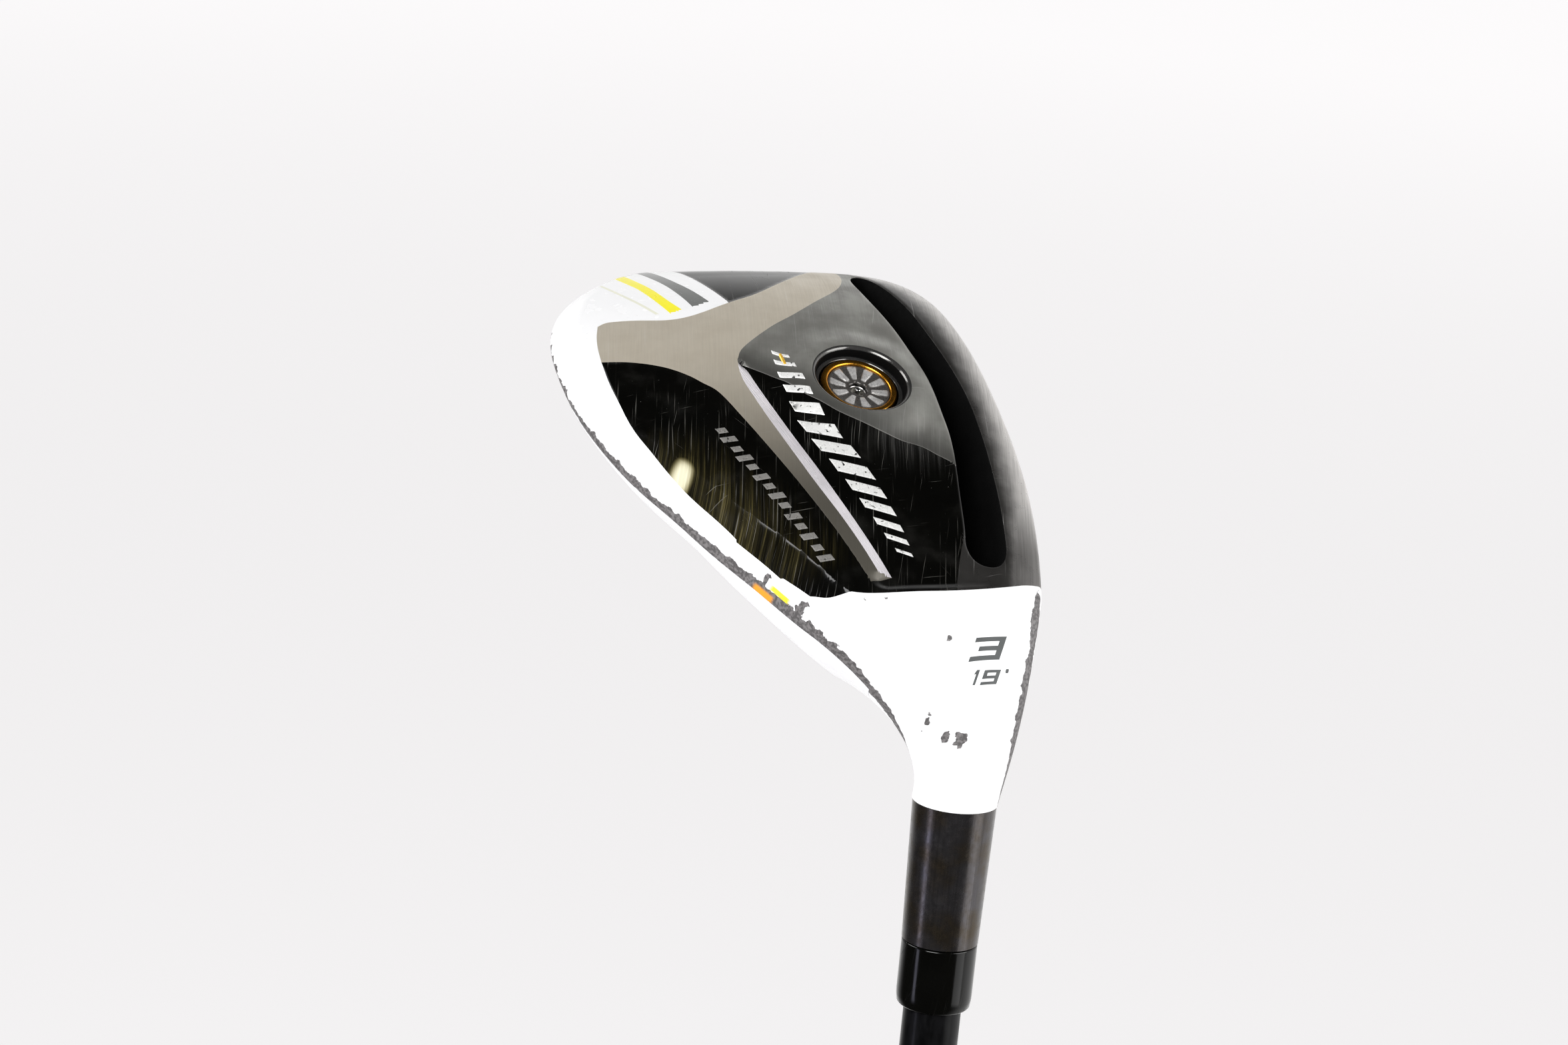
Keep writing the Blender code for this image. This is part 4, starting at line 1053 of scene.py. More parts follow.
def build_weight(finishes):
    """Gold bezel, petalled medallion, driver pin, threaded screw and rubber seal, on the port axis."""
    bezel = [(5.4, -2.3), (6.5, -2.3), (6.5, -1.55)]
    bezel += arc((6.15, -1.5), 0.35, 0, 90) + arc((5.75, -1.5), 0.35, 90, 90)
    ring = turned("weight_ring", bezel, 144, 50.0)
    piece(ring, [finishes["gold"]], "weight", "weight_bezel", PORT_PLACE)
    disc = medallion_mesh()
    piece(disc, [finishes["medallion"]], "weight", "weight_medallion", PORT_PLACE)
    outline = [(0, -2.75), (0.5, -2.75), (0.5, -2.1)] + arc((0.28, -2.1), 0.22, 0, 80, 5) + [(0, -1.86)]
    pin = turned("driver_pin", outline, 32, 50.0)
    piece(pin, [finishes["pin"]], "weight", None, PORT_PLACE)
    piece(threaded_mesh(), [finishes["steel"]], "weight", "weight_screw", PORT_PLACE)
    low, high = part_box("weight_seal")
    seal_z = ((low + high) / 2 - PORT).dot(SOLE_DIR) / MM
    turns = np.linspace(0, 2 * pi, 16, endpoint=False)
    seal = turned("weight_gasket", [(5.3 + 0.45 * cos(t), seal_z + 0.38 * sin(t)) for t in turns], 96, 80.0)
    piece(seal, [finishes["rubber"]], "seal", "weight_seal", PORT_PLACE)


# ---------------------------------------------------------------- shaft and grip
TIP_R, BUTT_R, SHAFT_WALL, TIP_PARALLEL = 4.7, 7.6, 1.3, 75.0
FERRULE_R, FERRULE_BORE, FERRULE_RISE = 6.15, 4.85, 0.12
GRIP_BUTT_R, GRIP_MOUTH_R, GRIP_WALL = 13.2, 9.9, 1.0
TREAD_COUNT, TREAD_TWIST, TREAD_DEPTH, BAND_SPACING = 22, 0.55, 0.32, 62.0
VENT_R = 1.5


def height_range(node):
    low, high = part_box(node)
    return low.z / MM, high.z / MM


def shaft_radius(z):
    low, high = height_range("shaft")
    taper = high - TIP_PARALLEL
    return float(lerp(TIP_R, BUTT_R, np.clip((taper - z) / (taper - low), 0.0, 1.0)))


def build_shaft(finishes):
    """Graphite shaft and the ferrule that covers its joint with the hosel."""
    low, high = height_range("shaft")
    taper, bore = high - TIP_PARALLEL, TIP_R - SHAFT_WALL
    tube = [(shaft_radius(z), z) for z in np.linspace(low, taper, 40)]
    tube += [(TIP_R, high - 0.5), (TIP_R - 0.5, high), (bore, high), (bore, taper)]
    tube += [(BUTT_R - SHAFT_WALL, low)]
    piece(turned("graphite_tube", tube), [finishes["graphite"]], "club", "shaft")
    low, high = height_range("ferrule")
    top = high + FERRULE_RISE
    ferrule = [(FERRULE_BORE, low), (5.1, low)] + arc((5.1, low + 1.0), 1.0, -90, 60)
    ferrule += [(FERRULE_R - 0.03, low + 1.6), (FERRULE_R, low + 2.6), (FERRULE_R, top - 0.35)]
    ferrule += arc((FERRULE_R - 0.3, top - 0.3), 0.3, 0, 90, 5) + [(FERRULE_BORE, top)]
    collar = turned("gloss_collar", ferrule, 96, 60.0)
    piece(collar, [finishes["ferrule"]], "club", "ferrule")


def grip_radius(z, low, high):
    """Outer radius of the grip between its butt and its mouth."""
    radii = [GRIP_BUTT_R - 0.6, GRIP_BUTT_R, GRIP_BUTT_R - 0.1, GRIP_BUTT_R - 1.6]
    radii += [GRIP_MOUTH_R + 0.2, GRIP_MOUTH_R]
    return float(curve([low, low + 1.2, low + 9, low + 60, high - 30, high - 4], radii, z))


def build_grip(finishes):
    """Rubber grip with a diamond tread between plain bands, and its ringed end cap."""
    low, high = height_range("grip")
    levels = [(shaft_radius(low) + GRIP_WALL, low), (GRIP_BUTT_R - 0.6, low)]
    for z in np.linspace(low + 0.8, high - 4.0, 290):
        around, twist = TREAD_COUNT * ANGLES, z * TREAD_TWIST
        crossed = np.sin(around + twist) * np.sin(around - twist)
        tread = smoothstep(low + 14, low + 18, z) * smoothstep(high - 14, high - 18, z)
        band = smoothstep(1.2, 2.2, abs((z - low) % BAND_SPACING - BAND_SPACING / 2))
        cut = TREAD_DEPTH * tread * band * smoothstep(0.0, 0.5, crossed)
        levels.append((grip_radius(z, low, high) - cut, z))
    levels += [(GRIP_MOUTH_R - 0.25, high - 1.6), (GRIP_MOUTH_R - 0.8, high - 0.4)]
    levels += [(GRIP_MOUTH_R - 1.1, high), (shaft_radius(high) + GRIP_WALL, high)]
    grip = turned_field("rubber_grip", levels, False, 50.0)
    piece(grip, [finishes["rubber"]], "club", "grip")
    low, high = height_range("grip_cap")
    cap_r = GRIP_BUTT_R + 0.1
    ridges = [(1.5, 0.5), (1.7, 0.2), (3.2, 0.2), (3.4, 0.45), (4.6, 0.45), (4.8, 0.2), (8.8, 0.1),
              (9.0, 0.4), (9.6, 0.4), (9.8, 0.05)]
    outline = [(radius, low + z) for radius, z in ridges]
    outline += arc((cap_r - 1.2, low + 1.2), 1.2, -90, 90, 8) + [(cap_r, high), (VENT_R, high)]
    piece(turned("end_cap", outline, 120, 50.0), [finishes["cap"]], "club", "grip_cap")


# ---------------------------------------------------------------- materials
SWING = 166
GRAIN = (0.02, 1.0, 0.02)
# Wear lines: angle, width, squash along the line, noise band, offset of the pattern
SCRATCH_SETS = [(SWING, 0.22, 0.012, 0.64, 0.72, 0.0), (169, 0.38, 0.016, 0.68, 0.76, 3.1),
                (158, 0.26, 0.020, 0.70, 0.77, 9.4), (30, 0.20, 0.015, 0.73, 0.79, 7.7),
                (95, 0.26, 0.03, 0.73, 0.79, 5.3)]


def fill(tree, socket, value):
    """Link a socket, or set its own value; a colour gets its alpha."""
    if isinstance(value, bpy.types.NodeSocket):
        tree.links.new(value, socket)
    elif isinstance(value, tuple) and len(socket.default_value) == 4:
        socket.default_value = (*value, 1.0)
    else:
        socket.default_value = value


def shader_node(tree, kind, output, *values, **settings):
    """Output of a new shader node, with its settings and its first inputs linked or set."""
    node = tree.nodes.new("ShaderNode" + kind)
    for key, value in settings.items():
        setattr(node, key, value)
    for socket, value in zip(node.inputs, values):
        fill(tree, socket, value)
    return node.outputs[output]


class Finish:
    """Procedural material whose patterns sit in the frame of the head, or of the row."""

    def __init__(self, name, on_head=True, **sockets):
        self.material = bpy.data.materials.new(name)
        self.material.use_nodes = True
        self.tree = self.material.node_tree
        self.shader = self.tree.nodes["Principled BSDF"]
        self.place = self.node("TexCoord", "Object")
        if on_head:
            to_head = HEAD.inverted()
            self.place = self.node("Mapping", 0, self.place, to_head.translation, to_head.to_euler())
        for socket, value in sockets.items():
            self.set(socket.replace("_", " ").title().replace("Ior", "IOR"), value)

    def node(self, kind, output, *values, **settings):
        return shader_node(self.tree, kind, output, *values, **settings)

    def set(self, socket, value):
        fill(self.tree, self.shader.inputs[socket], value)
        return self

    def noise(self, size, detail=3.0, angle=0.0, stretch=None, offset=0.0):
        """Noise with features about size millimetres across, turned about z and squashed by stretch."""
        place = self.place
        if stretch:
            spin = self.tree.nodes.new("ShaderNodeVectorRotate")
            spin.rotation_type = "Z_AXIS"
            spin.inputs["Angle"].default_value = radians(-angle)
            fill(self.tree, spin.inputs["Vector"], place)
            place = self.node("VectorMath", 0, spin.outputs[0], stretch, operation="MULTIPLY")
        scale = 1.0 / (size * MM)
        return self.node("TexNoise", "Fac", place, offset, scale, detail, noise_dimensions="4D")

    def attribute(self, name):
        return self.node("Attribute", "Fac", attribute_name=name)

    def axis(self, name):
        return self.node("SeparateXYZ", name, self.place)

    def calc(self, operation, a, b):
        return self.node("Math", 0, a, b, operation=operation)

    def times(self, a, b):
        return self.calc("MULTIPLY", a, b)

    def without(self, a):
        return self.calc("SUBTRACT", 1.0, a)

    def band(self, value, low, high, start=0.0, end=1.0):
        """Smooth step of a value between low and high, read as start to end."""
        return self.node("MapRange", 0, value, low, high, start, end, interpolation_type="SMOOTHSTEP")

    def spot(self, value, low, high):
        """1 where a value is between low and high, with slightly soft ends."""
        soft = (high - low) * 0.12
        return self.times(self.band(value, low - soft, low + soft),
                          self.band(value, high - soft, high + soft, 1.0, 0.0))

    def mix(self, factor, a, b):
        node = self.tree.nodes.new("ShaderNodeMix")
        node.data_type = "RGBA"
        for socket, value in zip((node.inputs[0], node.inputs[6], node.inputs[7]), (factor, a, b)):
            fill(self.tree, socket, value)
        return node.outputs[2]

    def patches(self, size, detail, low, high, a, b):
        """Colour that goes from a to b in patches about size millimetres across."""
        return self.mix(self.band(self.noise(size, detail), low, high), a, b)

    def uneven(self, size, detail, low, high):
        """Value that drifts between low and high in patches about size millimetres across."""
        return self.band(self.noise(size, detail), 0.3, 0.7, low, high)

    def bump(self, height, depth):
        """Bump of the given depth, in millimetres, on top of any earlier one."""
        node = self.tree.nodes.new("ShaderNodeBump")
        node.inputs["Distance"].default_value = depth * MM
        fill(self.tree, node.inputs["Height"], height)
        normal = self.shader.inputs["Normal"]
        if normal.is_linked:
            fill(self.tree, node.inputs["Normal"], normal.links[0].from_socket)
        return self.set("Normal", node.outputs[0])

    def scratches(self, amount=1.0):
        """Mask of wear lines: long ones along the swing, a few across, and short nicks."""
        total = None
        for angle, size, squash, low, high, offset in SCRATCH_SETS:
            line = self.noise(size, 1.0, angle, (squash, 1.0, 0.02), offset)
            line = self.band(line, low, high, 0.0, amount)
            patch = self.band(self.noise(9.0, 2.0, offset=offset + 1.7), 0.40, 0.62)
            line = self.times(line, patch)
            total = line if total is None else self.calc("MAXIMUM", total, line)
        return total


CROWN_DASH, EDGE_DASH = ((0.0056, 0.0088), (0.6, 3.4)), ((0.0036, 0.0068), (-1.1, -0.2))
COAT = 0.35


def painted(name, colour, other, chipped=False):
    """Glossy paint with a faint orange peel, grime and, where it is worn, chips down to the primer."""
    f = Finish(name, specular_ior_level=0.4, coat_weight=COAT, coat_roughness=0.08)
    grime = f.band(f.noise(2.2, 5.0), 0.60, 0.75)
    specks = f.band(f.noise(0.45, 2.0), 0.70, 0.76)
    tone = f.mix(f.noise(14.0, 3.0), colour, other)
    tone = f.mix(f.times(grime, 0.07), tone, (0.30, 0.29, 0.28))
    tone = f.mix(f.times(specks, 0.20), tone, (0.25, 0.24, 0.23))
    rough = f.band(f.noise(3.0, 4.0), 0.3, 0.8, 0.16, 0.34)
    f.bump(f.noise(0.9, 1.0), 0.006)
    if chipped:
        ragged = f.times(f.calc("SUBTRACT", f.noise(1.6, 5.0), 0.5), 2.6)
        reach = f.calc("ADD", f.attribute("chip"), ragged)
        chip = f.band(reach, 0.06, 0.14)
        primer = f.patches(0.5, 4.0, 0.4, 0.62, (0.085, 0.08, 0.08), (0.19, 0.18, 0.18))
        tone = f.mix(chip, tone, primer)
        for (x_span, edge_span), dash in ((CROWN_DASH, (0.85, 0.33, 0.02)), (EDGE_DASH, (0.93, 0.76, 0.02))):
            place = f.times(f.spot(f.axis("X"), *x_span), f.spot(f.attribute("edge"), *edge_span))
            tone = f.mix(place, tone, dash)
        rough = f.calc("ADD", rough, f.times(chip, 0.3))
        f.bump(f.without(f.band(reach, 0.0, 0.2)), 0.12)
        f.bump(f.times(f.noise(0.3, 3.0), chip), 0.05)
        f.set("Coat Weight", f.times(f.without(chip), COAT))
    f.set("Base Color", tone).set("Roughness", rough)
    return f.material


def painted_scratch_sheen(f, tone):
    """Painted reflections in the panels' fine scratches: a golden highlight by the back edge, a grey sheen by
    the crease.
    """
    fine = f.band(f.noise(0.20, 2.0, SWING, (0.014, 1.0, 0.02), 4.2), 0.48, 0.66)
    broad = f.band(f.noise(0.8, 2.0, SWING + 1, (0.03, 1.0, 0.02), 6.1), 0.40, 0.66, 0.15, 1.0)
    streaks = f.times(broad, f.band(fine, 0.0, 1.0, 0.25, 1.0))
    glow = f.attribute("glow")
    highlight_core = f.band(glow, 0.45, 0.95)
    # Painted golden highlight in the scratches, solid at its core
    golden = f.calc("ADD", f.times(f.times(glow, streaks), 0.5), f.times(highlight_core, 0.75))
    tone = f.mix(golden, tone, f.mix(highlight_core, (0.48, 0.40, 0.15), (0.86, 0.82, 0.60)))
    # Painted grey sheen in the scratches by the crease
    return f.mix(f.times(f.times(f.attribute("haze"), streaks), 0.5), tone, (0.36, 0.355, 0.34))


def gloss_black(name, wear):
    """Near-black gloss enamel with fine pale scratches and dust; on the sole panels also painted highlights
    in the scratches.
    """
    f = Finish(name, specular_ior_level=0.3)
    worn = f.scratches()
    dust = f.band(f.noise(0.3, 2.0), 0.73, 0.79)
    base = f.mix(f.noise(6.0, 3.0), (0.0006, 0.0006, 0.0004), (0.0028, 0.0028, 0.0024))
    haze = f.band(f.noise(7.0, 5.0), 0.52, 0.74, 0.0, 0.018 * wear)
    base = f.mix(haze, base, (0.35, 0.34, 0.31))
    tone = f.mix(f.times(worn, 0.24 * wear), base, (0.32, 0.31, 0.28))
    tone = f.mix(f.times(dust, 0.5 * wear), tone, (0.32, 0.31, 0.29))
    # Sole panels only: painted golden highlight and grey sheen in the scratches
    if wear == 1.0:
        tone = painted_scratch_sheen(f, tone)
    f.set("Base Color", tone)
    f.set("Roughness", f.calc("ADD", f.uneven(4.0, 4.0, 0.09, 0.18), f.times(worn, 0.3)))
    f.bump(f.without(worn), 0.010 * wear).bump(f.noise(2.4, 2.0), 0.004)
    return f.material


def satin_metal(name, colour, shade, roughness, metallic, angle, grain=0.5, scratch=0.25, adjust=None):
    """Metal with a directional grain, cloudy tone and light wear; adjust may change the tone further."""
    f = Finish(name, metallic=metallic)
    lines = f.noise(0.16, 3.0, angle, GRAIN)
    cloud = f.noise(5.0, 4.0)
    tone = f.mix(f.band(cloud, 0.3, 0.72), colour, shade)
    tone = f.mix(f.times(f.band(lines, 0.35, 0.7), 0.22 * grain), tone, tuple(c * 0.5 for c in colour))
    tone = f.mix(f.times(f.scratches(0.8), scratch), tone, (0.75, 0.74, 0.72))
    f.set("Base Color", adjust(f, tone) if adjust else tone)
    f.set("Roughness", f.band(f.calc("ADD", lines, cloud), 0.7, 1.3, roughness - 0.07, roughness + 0.08))
    f.bump(lines, 0.010 * grain).bump(f.noise(0.3, 2.0), 0.004)
    return f.material


def painted_shade_to_heel(f, tone):
    """Painted shade: the bar gets darker from the toe to the heel."""
    return f.mix(f.band(f.axis("X"), 0.014, 0.058, 0.86, 0.0), tone, (0.022, 0.022, 0.018))


def painted_shade_at_crease(f, tone):
    """Painted shade: the facet gets darker towards its crease; a thin pale line runs along the crease."""
    crease = f.attribute("crease")
    # Painted shade, deepest at the crease
    tone = f.mix(f.band(crease, 0.0, 6.5, 0.72, 0.0), tone, (0.02, 0.02, 0.018))
    tone = painted_scratch_sheen(f, tone)
    return f.mix(f.band(crease, 0.02, 0.2, 0.45, 0.0), tone, (0.40, 0.39, 0.37))


def gunmetal_tube(name):
    """Dark plated hosel with a fine grain along the shaft."""
    f = Finish(name, False, metallic=0.9)
    lines = f.noise(0.3, 3.0, 0.0, (1.0, 1.0, 0.02))
    tone = f.patches(4.0, 4.0, 0.35, 0.7, (0.105, 0.10, 0.105), (0.085, 0.068, 0.048))
    f.set("Base Color", f.mix(f.times(f.band(lines, 0.4, 0.7), 0.4), tone, (0.04, 0.036, 0.034)))
    f.set("Roughness", f.uneven(1.0, 4.0, 0.20, 0.30))
    f.bump(lines, 0.004).bump(f.noise(0.35, 2.0), 0.005)
    return f.material


def soft_solid(name, colour, shade, roughness, size, depth, specular=0.3):
    """Rubber, foam, tape or resin with a fine surface grain."""
    f = Finish(name, specular_ior_level=specular)
    f.set("Base Color", f.mix(f.noise(size * 6, 4.0), colour, shade))
    f.set("Roughness", f.uneven(size * 3, 3.0, roughness - 0.08, roughness + 0.08))
    f.bump(f.noise(size, 3.0), depth)
    return f.material


def graphite(name):
    """Clear-coated black shaft with faint wrap lines and rubbed patches."""
    f = Finish(name, False, specular_ior_level=0.12, coat_weight=0.06, coat_roughness=0.12)
    wrap = f.noise(1.4, 2.0, 0.0, (1.0, 1.0, 0.35))
    f.set("Base Color", f.mix(f.band(wrap, 0.35, 0.65), (0.0012, 0.0012, 0.0014), (0.004, 0.004, 0.0045)))
    f.set("Roughness", f.uneven(6.0, 4.0, 0.26, 0.42))
    f.bump(wrap, 0.008)
    return f.material


def lip_painted_reflection(name, highlight_colour, dark):
    """Lip before the slot with a painted reflection: pale towards the leading edge, dark towards the slot and
    the heel.
    """
    f = Finish(name, metallic=0.55)
    lines = f.noise(0.16, 3.0, SWING, GRAIN)
    cloud = f.times(f.calc("SUBTRACT", f.noise(3.0, 4.0), 0.5), 2.0)
    # Painted reflection: pale by the leading edge, fading to dark over the lip and towards the heel
    sheen_fade = f.band(f.calc("ADD", f.attribute("front"), cloud), 2.2, 7.2)
    heel = f.band(f.axis("X"), 0.004, 0.020, 0.75, 0.0)
    tone = f.mix(f.calc("MAXIMUM", sheen_fade, heel), highlight_colour, dark)
    tone = f.mix(f.times(f.band(lines, 0.4, 0.7), 0.3), tone, dark)
    f.set("Base Color", f.mix(f.times(f.scratches(), 0.3), tone, (0.7, 0.69, 0.67)))
    f.set("Roughness", f.uneven(2.0, 4.0, 0.26, 0.40))
    f.bump(lines, 0.006)
    return f.material


def petal_metal(name):
    """Turned disc whose raised petals are polished and whose gaps are grey."""
    f = Finish(name, metallic=0.4)
    polished = f.patches(1.4, 3.0, 0.3, 0.7, (0.62, 0.61, 0.60), (0.40, 0.39, 0.38))
    f.set("Base Color", f.mix(f.band(f.attribute("petal"), 0.2, 0.8), (0.075, 0.07, 0.065), polished))
    f.set("Roughness", f.uneven(0.5, 2.0, 0.22, 0.36))
    f.bump(f.noise(0.4, 2.0), 0.002)
    return f.material


def worn_silver(name, colour, under, metallic):
    """Bright plated mark rubbed through to the black below in small chips."""
    f = Finish(name, metallic=metallic)
    lost = f.band(f.noise(0.7, 4.0), 0.60, 0.66)
    scuffs = f.band(f.noise(0.16, 2.0, SWING, GRAIN), 0.58, 0.72)
    tone = f.mix(f.noise(3.0, 3.0), colour, tuple(c * 0.8 for c in colour))
    tone = f.mix(f.times(scuffs, 0.35), tone, tuple(c * 0.45 for c in colour))
    f.set("Base Color", f.mix(lost, tone, under))
    f.set("Roughness", f.calc("ADD", f.times(lost, 0.3), f.uneven(1.0, 3.0, 0.18, 0.34)))
    f.bump(f.without(lost), 0.03).bump(scuffs, 0.006)
    return f.material


def anodised(name, colour, shade, roughness):
    """Coloured or plain metal with a fine even grain."""
    f = Finish(name, metallic=1.0)
    fine = f.noise(0.09, 2.0)
    f.set("Base Color", f.patches(1.5, 4.0, 0.35, 0.7, colour, shade))
    f.set("Roughness", f.band(fine, 0.3, 0.7, roughness - 0.06, roughness + 0.08))
    f.bump(fine, 0.006)
    return f.material


def casting_finishes():
    """Materials of the head casting, in the order of the finish numbers."""
    return [painted("white_enamel", (0.90, 0.90, 0.905), (0.88, 0.88, 0.89), True),
            satin_metal("satin_bar", (0.605, 0.55, 0.455), (0.545, 0.49, 0.40), 0.42, 0.4, SWING,
                        adjust=painted_shade_to_heel),
            gloss_black("panel_black", 1.0),
            # The bevel: the bar's metal painted pale and lavender, a painted highlight
            satin_metal("bevel_painted_highlight", (0.90, 0.86, 0.90), (0.74, 0.71, 0.74), 0.28, 0.5, 17, 0.3, 0.06),
            satin_metal("grey_facet", (0.30, 0.30, 0.275), (0.20, 0.195, 0.18), 0.38, 0.45, SWING, 0.8, 0.3,
                        adjust=painted_shade_at_crease),
            # The lip's painted reflection, pale at the leading edge
            lip_painted_reflection("lip_painted_sheen", (0.62, 0.60, 0.58), (0.04, 0.038, 0.036)),
            painted("yellow_enamel", (0.95, 0.88, 0.02), (0.90, 0.80, 0.02)),
            painted("grey_enamel", (0.16, 0.165, 0.16), (0.12, 0.125, 0.12)),
            soft_solid("pocket_black", (0.0012,) * 3, (0.003,) * 3, 0.8, 0.4, 0.03, 0.05),
            gunmetal_tube("gunmetal_hosel"),
            painted("cream_enamel", (0.80, 0.80, 0.66), (0.74, 0.74, 0.62)),
            satin_metal("port_lip", (0.16, 0.155, 0.15), (0.10, 0.10, 0.095), 0.16, 0.8, 0, 0.1, 0.2)]


def all_finishes():
    """Every other material, by the name the building functions use."""
    return {
        "crown": painted("crown_enamel", (0.88, 0.88, 0.89), (0.85, 0.85, 0.87)),
        "face": satin_metal("face_black", (0.03, 0.03, 0.032), (0.02, 0.02, 0.022), 0.42, 0.7, 0, 0.8, 0.07),
        "silver": worn_silver("badge_silver", (0.95, 0.95, 0.93), (0.02, 0.02, 0.018), 0.25),
        "pewter": worn_silver("mark_pewter", (0.34, 0.33, 0.31), (0.05, 0.05, 0.045), 0.4),
        "amber": worn_silver("mark_amber", (0.85, 0.50, 0.06), (0.12, 0.09, 0.03), 0.3),
        "number": soft_solid("number_grey", (0.055, 0.06, 0.06), (0.10, 0.105, 0.105), 0.5, 0.4, 0.01),
        "gold": anodised("gold_ring", (0.90, 0.42, 0.05), (0.78, 0.33, 0.03), 0.26),
        "medallion": petal_metal("petal_disc"),
        "pin": anodised("pin_steel", (0.85, 0.84, 0.82), (0.7, 0.7, 0.68), 0.16),
        "steel": anodised("screw_steel", (0.48, 0.47, 0.45), (0.36, 0.35, 0.33), 0.30),
        "graphite": graphite("graphite_coat"),
        "ferrule": gloss_black("collar_gloss", 0.06),
        "rubber": soft_solid("black_rubber", (0.012,) * 3, (0.024, 0.024, 0.023), 0.68, 0.35, 0.05),
        "cap": soft_solid("cap_black", (0.014,) * 3, (0.028, 0.028, 0.027), 0.6, 0.3, 0.04),
        "hot_melt": soft_solid("amber_resin", (0.55, 0.42, 0.20), (0.66, 0.52, 0.28), 0.45, 2.0, 0.2),
        "foam": soft_solid("stopper_grey", (0.20, 0.20, 0.215), (0.27, 0.27, 0.285), 0.85, 0.4, 0.12),
        "brass": anodised("turned_brass", (0.72, 0.50, 0.18), (0.60, 0.40, 0.14), 0.34),
        "tape": soft_solid("paper_tape", (0.58, 0.53, 0.42), (0.68, 0.63, 0.52), 0.8, 0.8, 0.06),
    }


CARRIED_OVER = {"damping_pad": "hot_melt", "hosel_stopper": "foam", "shaft_tip_weight": "brass",
                "grip_tape": "tape"}


def finish_cad_nodes(finishes):
    """Give the CAD nodes that stay visible as they are their own procedural materials."""
    for node, key in CARRIED_OVER.items():
        slots = frame["nodes"][node].data.materials
        slots.clear()
        slots.append(finishes[key])


# ---------------------------------------------------------------- studio
FLOOR_R, FLOOR_GLOW, DOME_GLOW = 30.0, 0.90, 0.96
NEAR_GLOW, GLOW_REACH = 0.88, (2.0, 15.0)
RIM_STEPS, DOME_STEPS, DOME_END = 64, 14, radians(88)
SKY_FAR, SKY_NEAR, SKY_COLOUR = 1.0, 0.012, (1.0, 0.995, 0.99)
SKY_SIDE, SKY_LOBE, SKY_FADE = (0.643, -0.766, 0.0), (-0.1, 0.6), (0.42, 0.86)
LIGHTS = {
    "key": ((-0.80, 0.75, 0.45), 1.5, (0.9, 0.9), 25.0, (1.0, 1.0, 1.0)),
    "fill": ((-0.75, -0.85, 0.42), 1.5, (1.1, 0.9), 14.0, (1.0, 1.0, 1.0)),
    "toe_side": ((0.45, 0.80, 0.50), 1.5, (0.8, 0.8), 10.0, (1.0, 1.0, 1.0)),
    "right_strip": ((-0.65, -0.74, -0.20), 1.4, (0.66, 0.9), 2.6, (1.0, 1.0, 1.0)),
    "left_strip": ((-0.02, 0.96, -0.26), 1.4, (0.20, 0.7), 1.15, (0.80, 0.80, 1.0)),
}
CAMERA_AIM = (20.03, 24.89, -10.08)
CAMERA_AZIMUTH, CAMERA_ELEVATION, CAMERA_ROLL = radians(-111.474), radians(13.135), radians(-5.419)
CAMERA_DISTANCE, CAMERA_LENS = 0.53476, 76.5


def stage_piece(name, points, faces, glow):
    """Pale matt part of the studio that reflections and shadows leave out."""
    mesh = bpy.data.meshes.new(name)
    mesh.from_pydata(points, [], faces)
    obj = linked(bpy.data.objects.new(name, mesh))
    f = Finish(name, False, roughness=0.9, specular_ior_level=0.1, emission_color=(1.0, 0.985, 0.99))
    f.set("Base Color", f.mix(f.noise(900.0, 2.0), (0.30, 0.298, 0.30), (0.32, 0.318, 0.322)))
    reach = f.node("VectorMath", "Value", f.place, operation="LENGTH")
    f.set("Emission Strength", f.band(reach, *GLOW_REACH, NEAR_GLOW * glow, glow))
    mesh.materials.append(f.material)
    obj.visible_glossy = False
    obj.visible_shadow = False
    return obj


def make_floor():
    """Large pale floor under the butt of the club, and a far dome of the same tone above its horizon."""
    turns = np.linspace(0, 2 * pi, RIM_STEPS, endpoint=False)
    rim = [(FLOOR_R * cos(t), FLOOR_R * sin(t), 0.0) for t in turns]
    stage_piece("studio_floor", rim, [tuple(range(RIM_STEPS))], FLOOR_GLOW)
    rises = np.linspace(0, DOME_END, DOME_STEPS)
    profile = [(FLOOR_R * cos(a), FLOOR_R * sin(a)) for a in rises]
    points = [(r * cos(t), r * sin(t), z) for r, z in profile for t in turns]
    faces = []
    for first in range(0, (DOME_STEPS - 1) * RIM_STEPS, RIM_STEPS):
        for n in range(RIM_STEPS):
            a, b = first + n, first + (n + 1) % RIM_STEPS
            faces.append((a, b, b + RIM_STEPS, a + RIM_STEPS))
    stage_piece("studio_backdrop", points, faces, DOME_GLOW).visible_diffuse = False


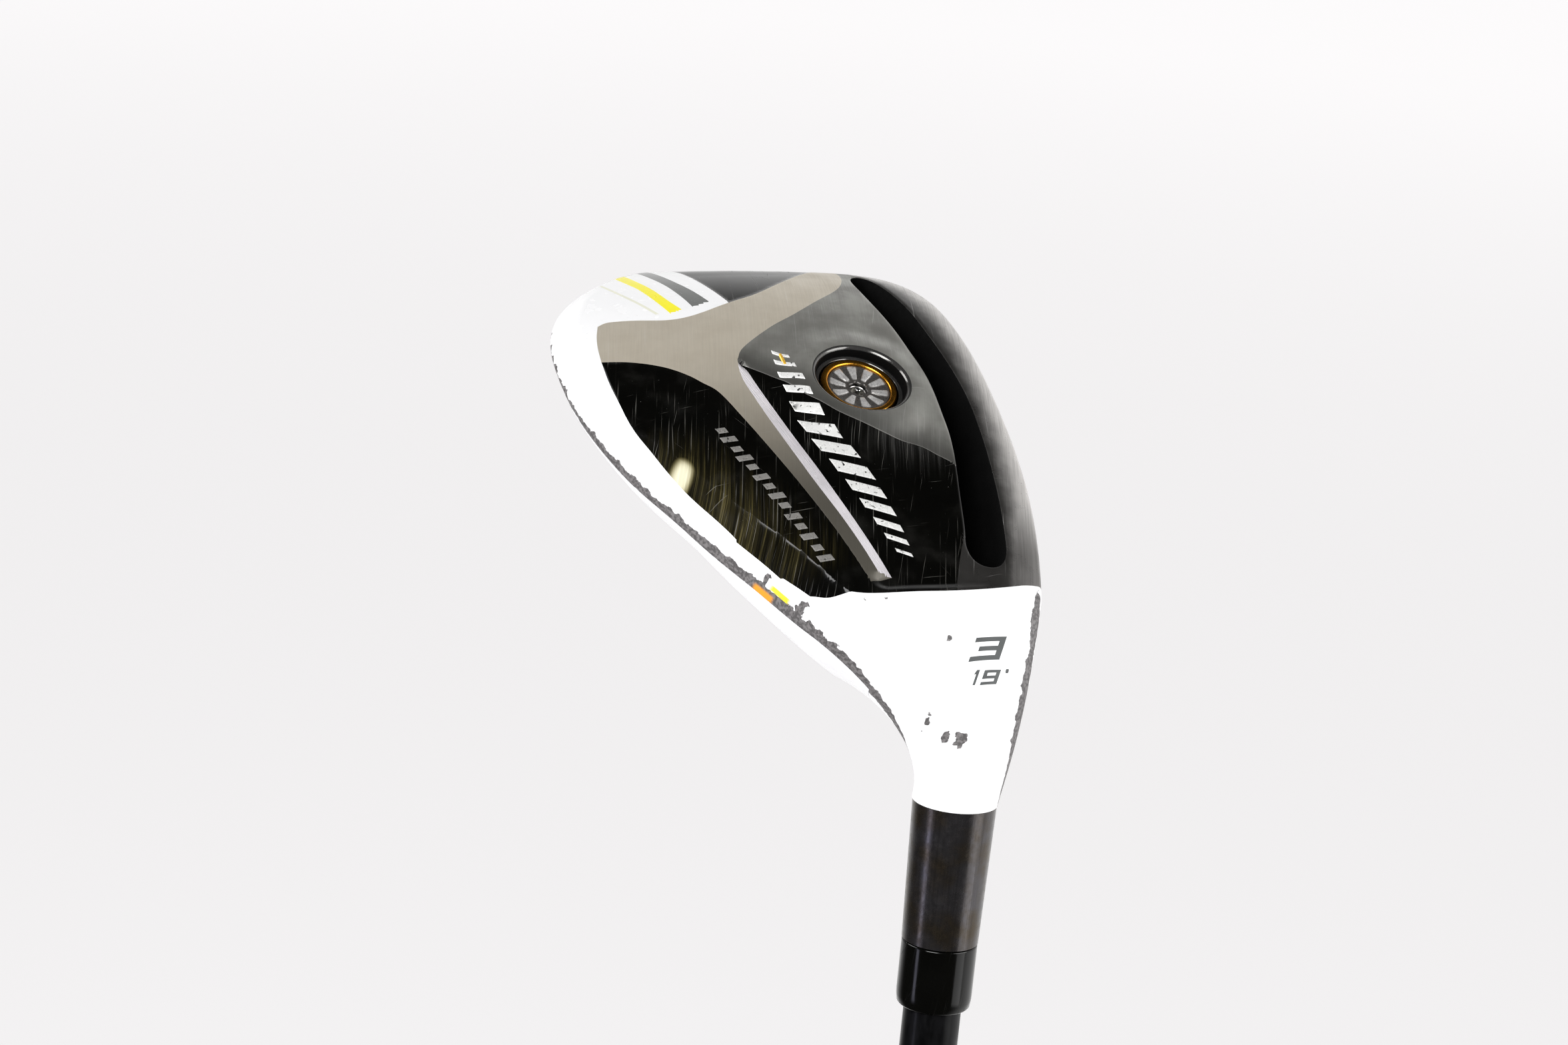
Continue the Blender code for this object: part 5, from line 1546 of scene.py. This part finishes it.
def make_world():
    """Soft studio surround: a white wall beyond the leading edge, dark overhead and on the near side."""
    world = bpy.data.worlds.new("studio")
    bpy.context.scene.world = world
    world.use_nodes = True
    tree = world.node_tree
    place = shader_node(tree, "TexCoord", "Generated")
    height = shader_node(tree, "SeparateXYZ", "Z", place)
    side = shader_node(tree, "VectorMath", "Value", place, SKY_SIDE, operation="DOT_PRODUCT")
    low = shader_node(tree, "MapRange", 0, height, *SKY_FADE, 1.0, 0.0, interpolation_type="SMOOTHSTEP")
    far = shader_node(tree, "MapRange", 0, side, *SKY_LOBE, 0.0, 1.0, interpolation_type="SMOOTHSTEP")
    both = shader_node(tree, "Math", 0, low, far, operation="MULTIPLY")
    glow = shader_node(tree, "MapRange", 0, both, 0.0, 1.0, SKY_NEAR, SKY_FAR)
    background = tree.nodes["Background"]
    fill(tree, background.inputs["Strength"], glow)
    fill(tree, background.inputs["Color"], SKY_COLOUR)


def make_lights():
    """Soft area lights facing the head, each from a direction in the row frame."""
    for name, (direction, distance, size, energy, colour) in LIGHTS.items():
        data = bpy.data.lights.new(name, "AREA")
        data.shape = "RECTANGLE"
        data.size, data.size_y = size
        data.energy = energy
        data.color = colour
        light = linked(bpy.data.objects.new(name, data))
        away = Vector(direction).normalized()
        light.location = ORIGIN + away * distance
        light.rotation_mode = "QUATERNION"
        light.rotation_quaternion = away.to_track_quat("Z", "Y")
        light.visible_camera = False


def make_camera():
    """Camera at the photograph's angle, near the head, looking down past the hosel."""
    back = Vector((sin(CAMERA_AZIMUTH) * cos(CAMERA_ELEVATION), -cos(CAMERA_AZIMUTH) * cos(CAMERA_ELEVATION),
                   sin(CAMERA_ELEVATION)))
    side = Vector((0, 0, 1)).cross(back).normalized()
    up = back.cross(side) * cos(CAMERA_ROLL) + side * sin(CAMERA_ROLL)
    matrix = Matrix((up.cross(back), up, back)).transposed().to_4x4()
    matrix.translation = HEAD @ (Vector(CAMERA_AIM) * MM) + back * CAMERA_DISTANCE
    data = bpy.data.cameras.new("photo_view")
    data.lens = CAMERA_LENS
    data.sensor_width = 36.0
    data.clip_start, data.clip_end = 0.02, 400.0
    camera = linked(bpy.data.objects.new("photo_view", data))
    camera.matrix_world = matrix
    bpy.context.scene.camera = camera


make_camera()
make_world()
make_floor()
make_lights()
finishes = all_finishes()
finish_cad_nodes(finishes)
rings = skin_rings()
normals = skin_normals(rings)
casting = build_casting(rings, normals, casting_finishes())
build_crown(rings, normals, finishes["crown"])
build_face(rings, normals, finishes["face"])
build_marks(surface_finder(casting), finishes)
build_weight(finishes)
build_shaft(finishes)
build_grip(finishes)
bpy.context.scene.view_settings.view_transform = "Standard"
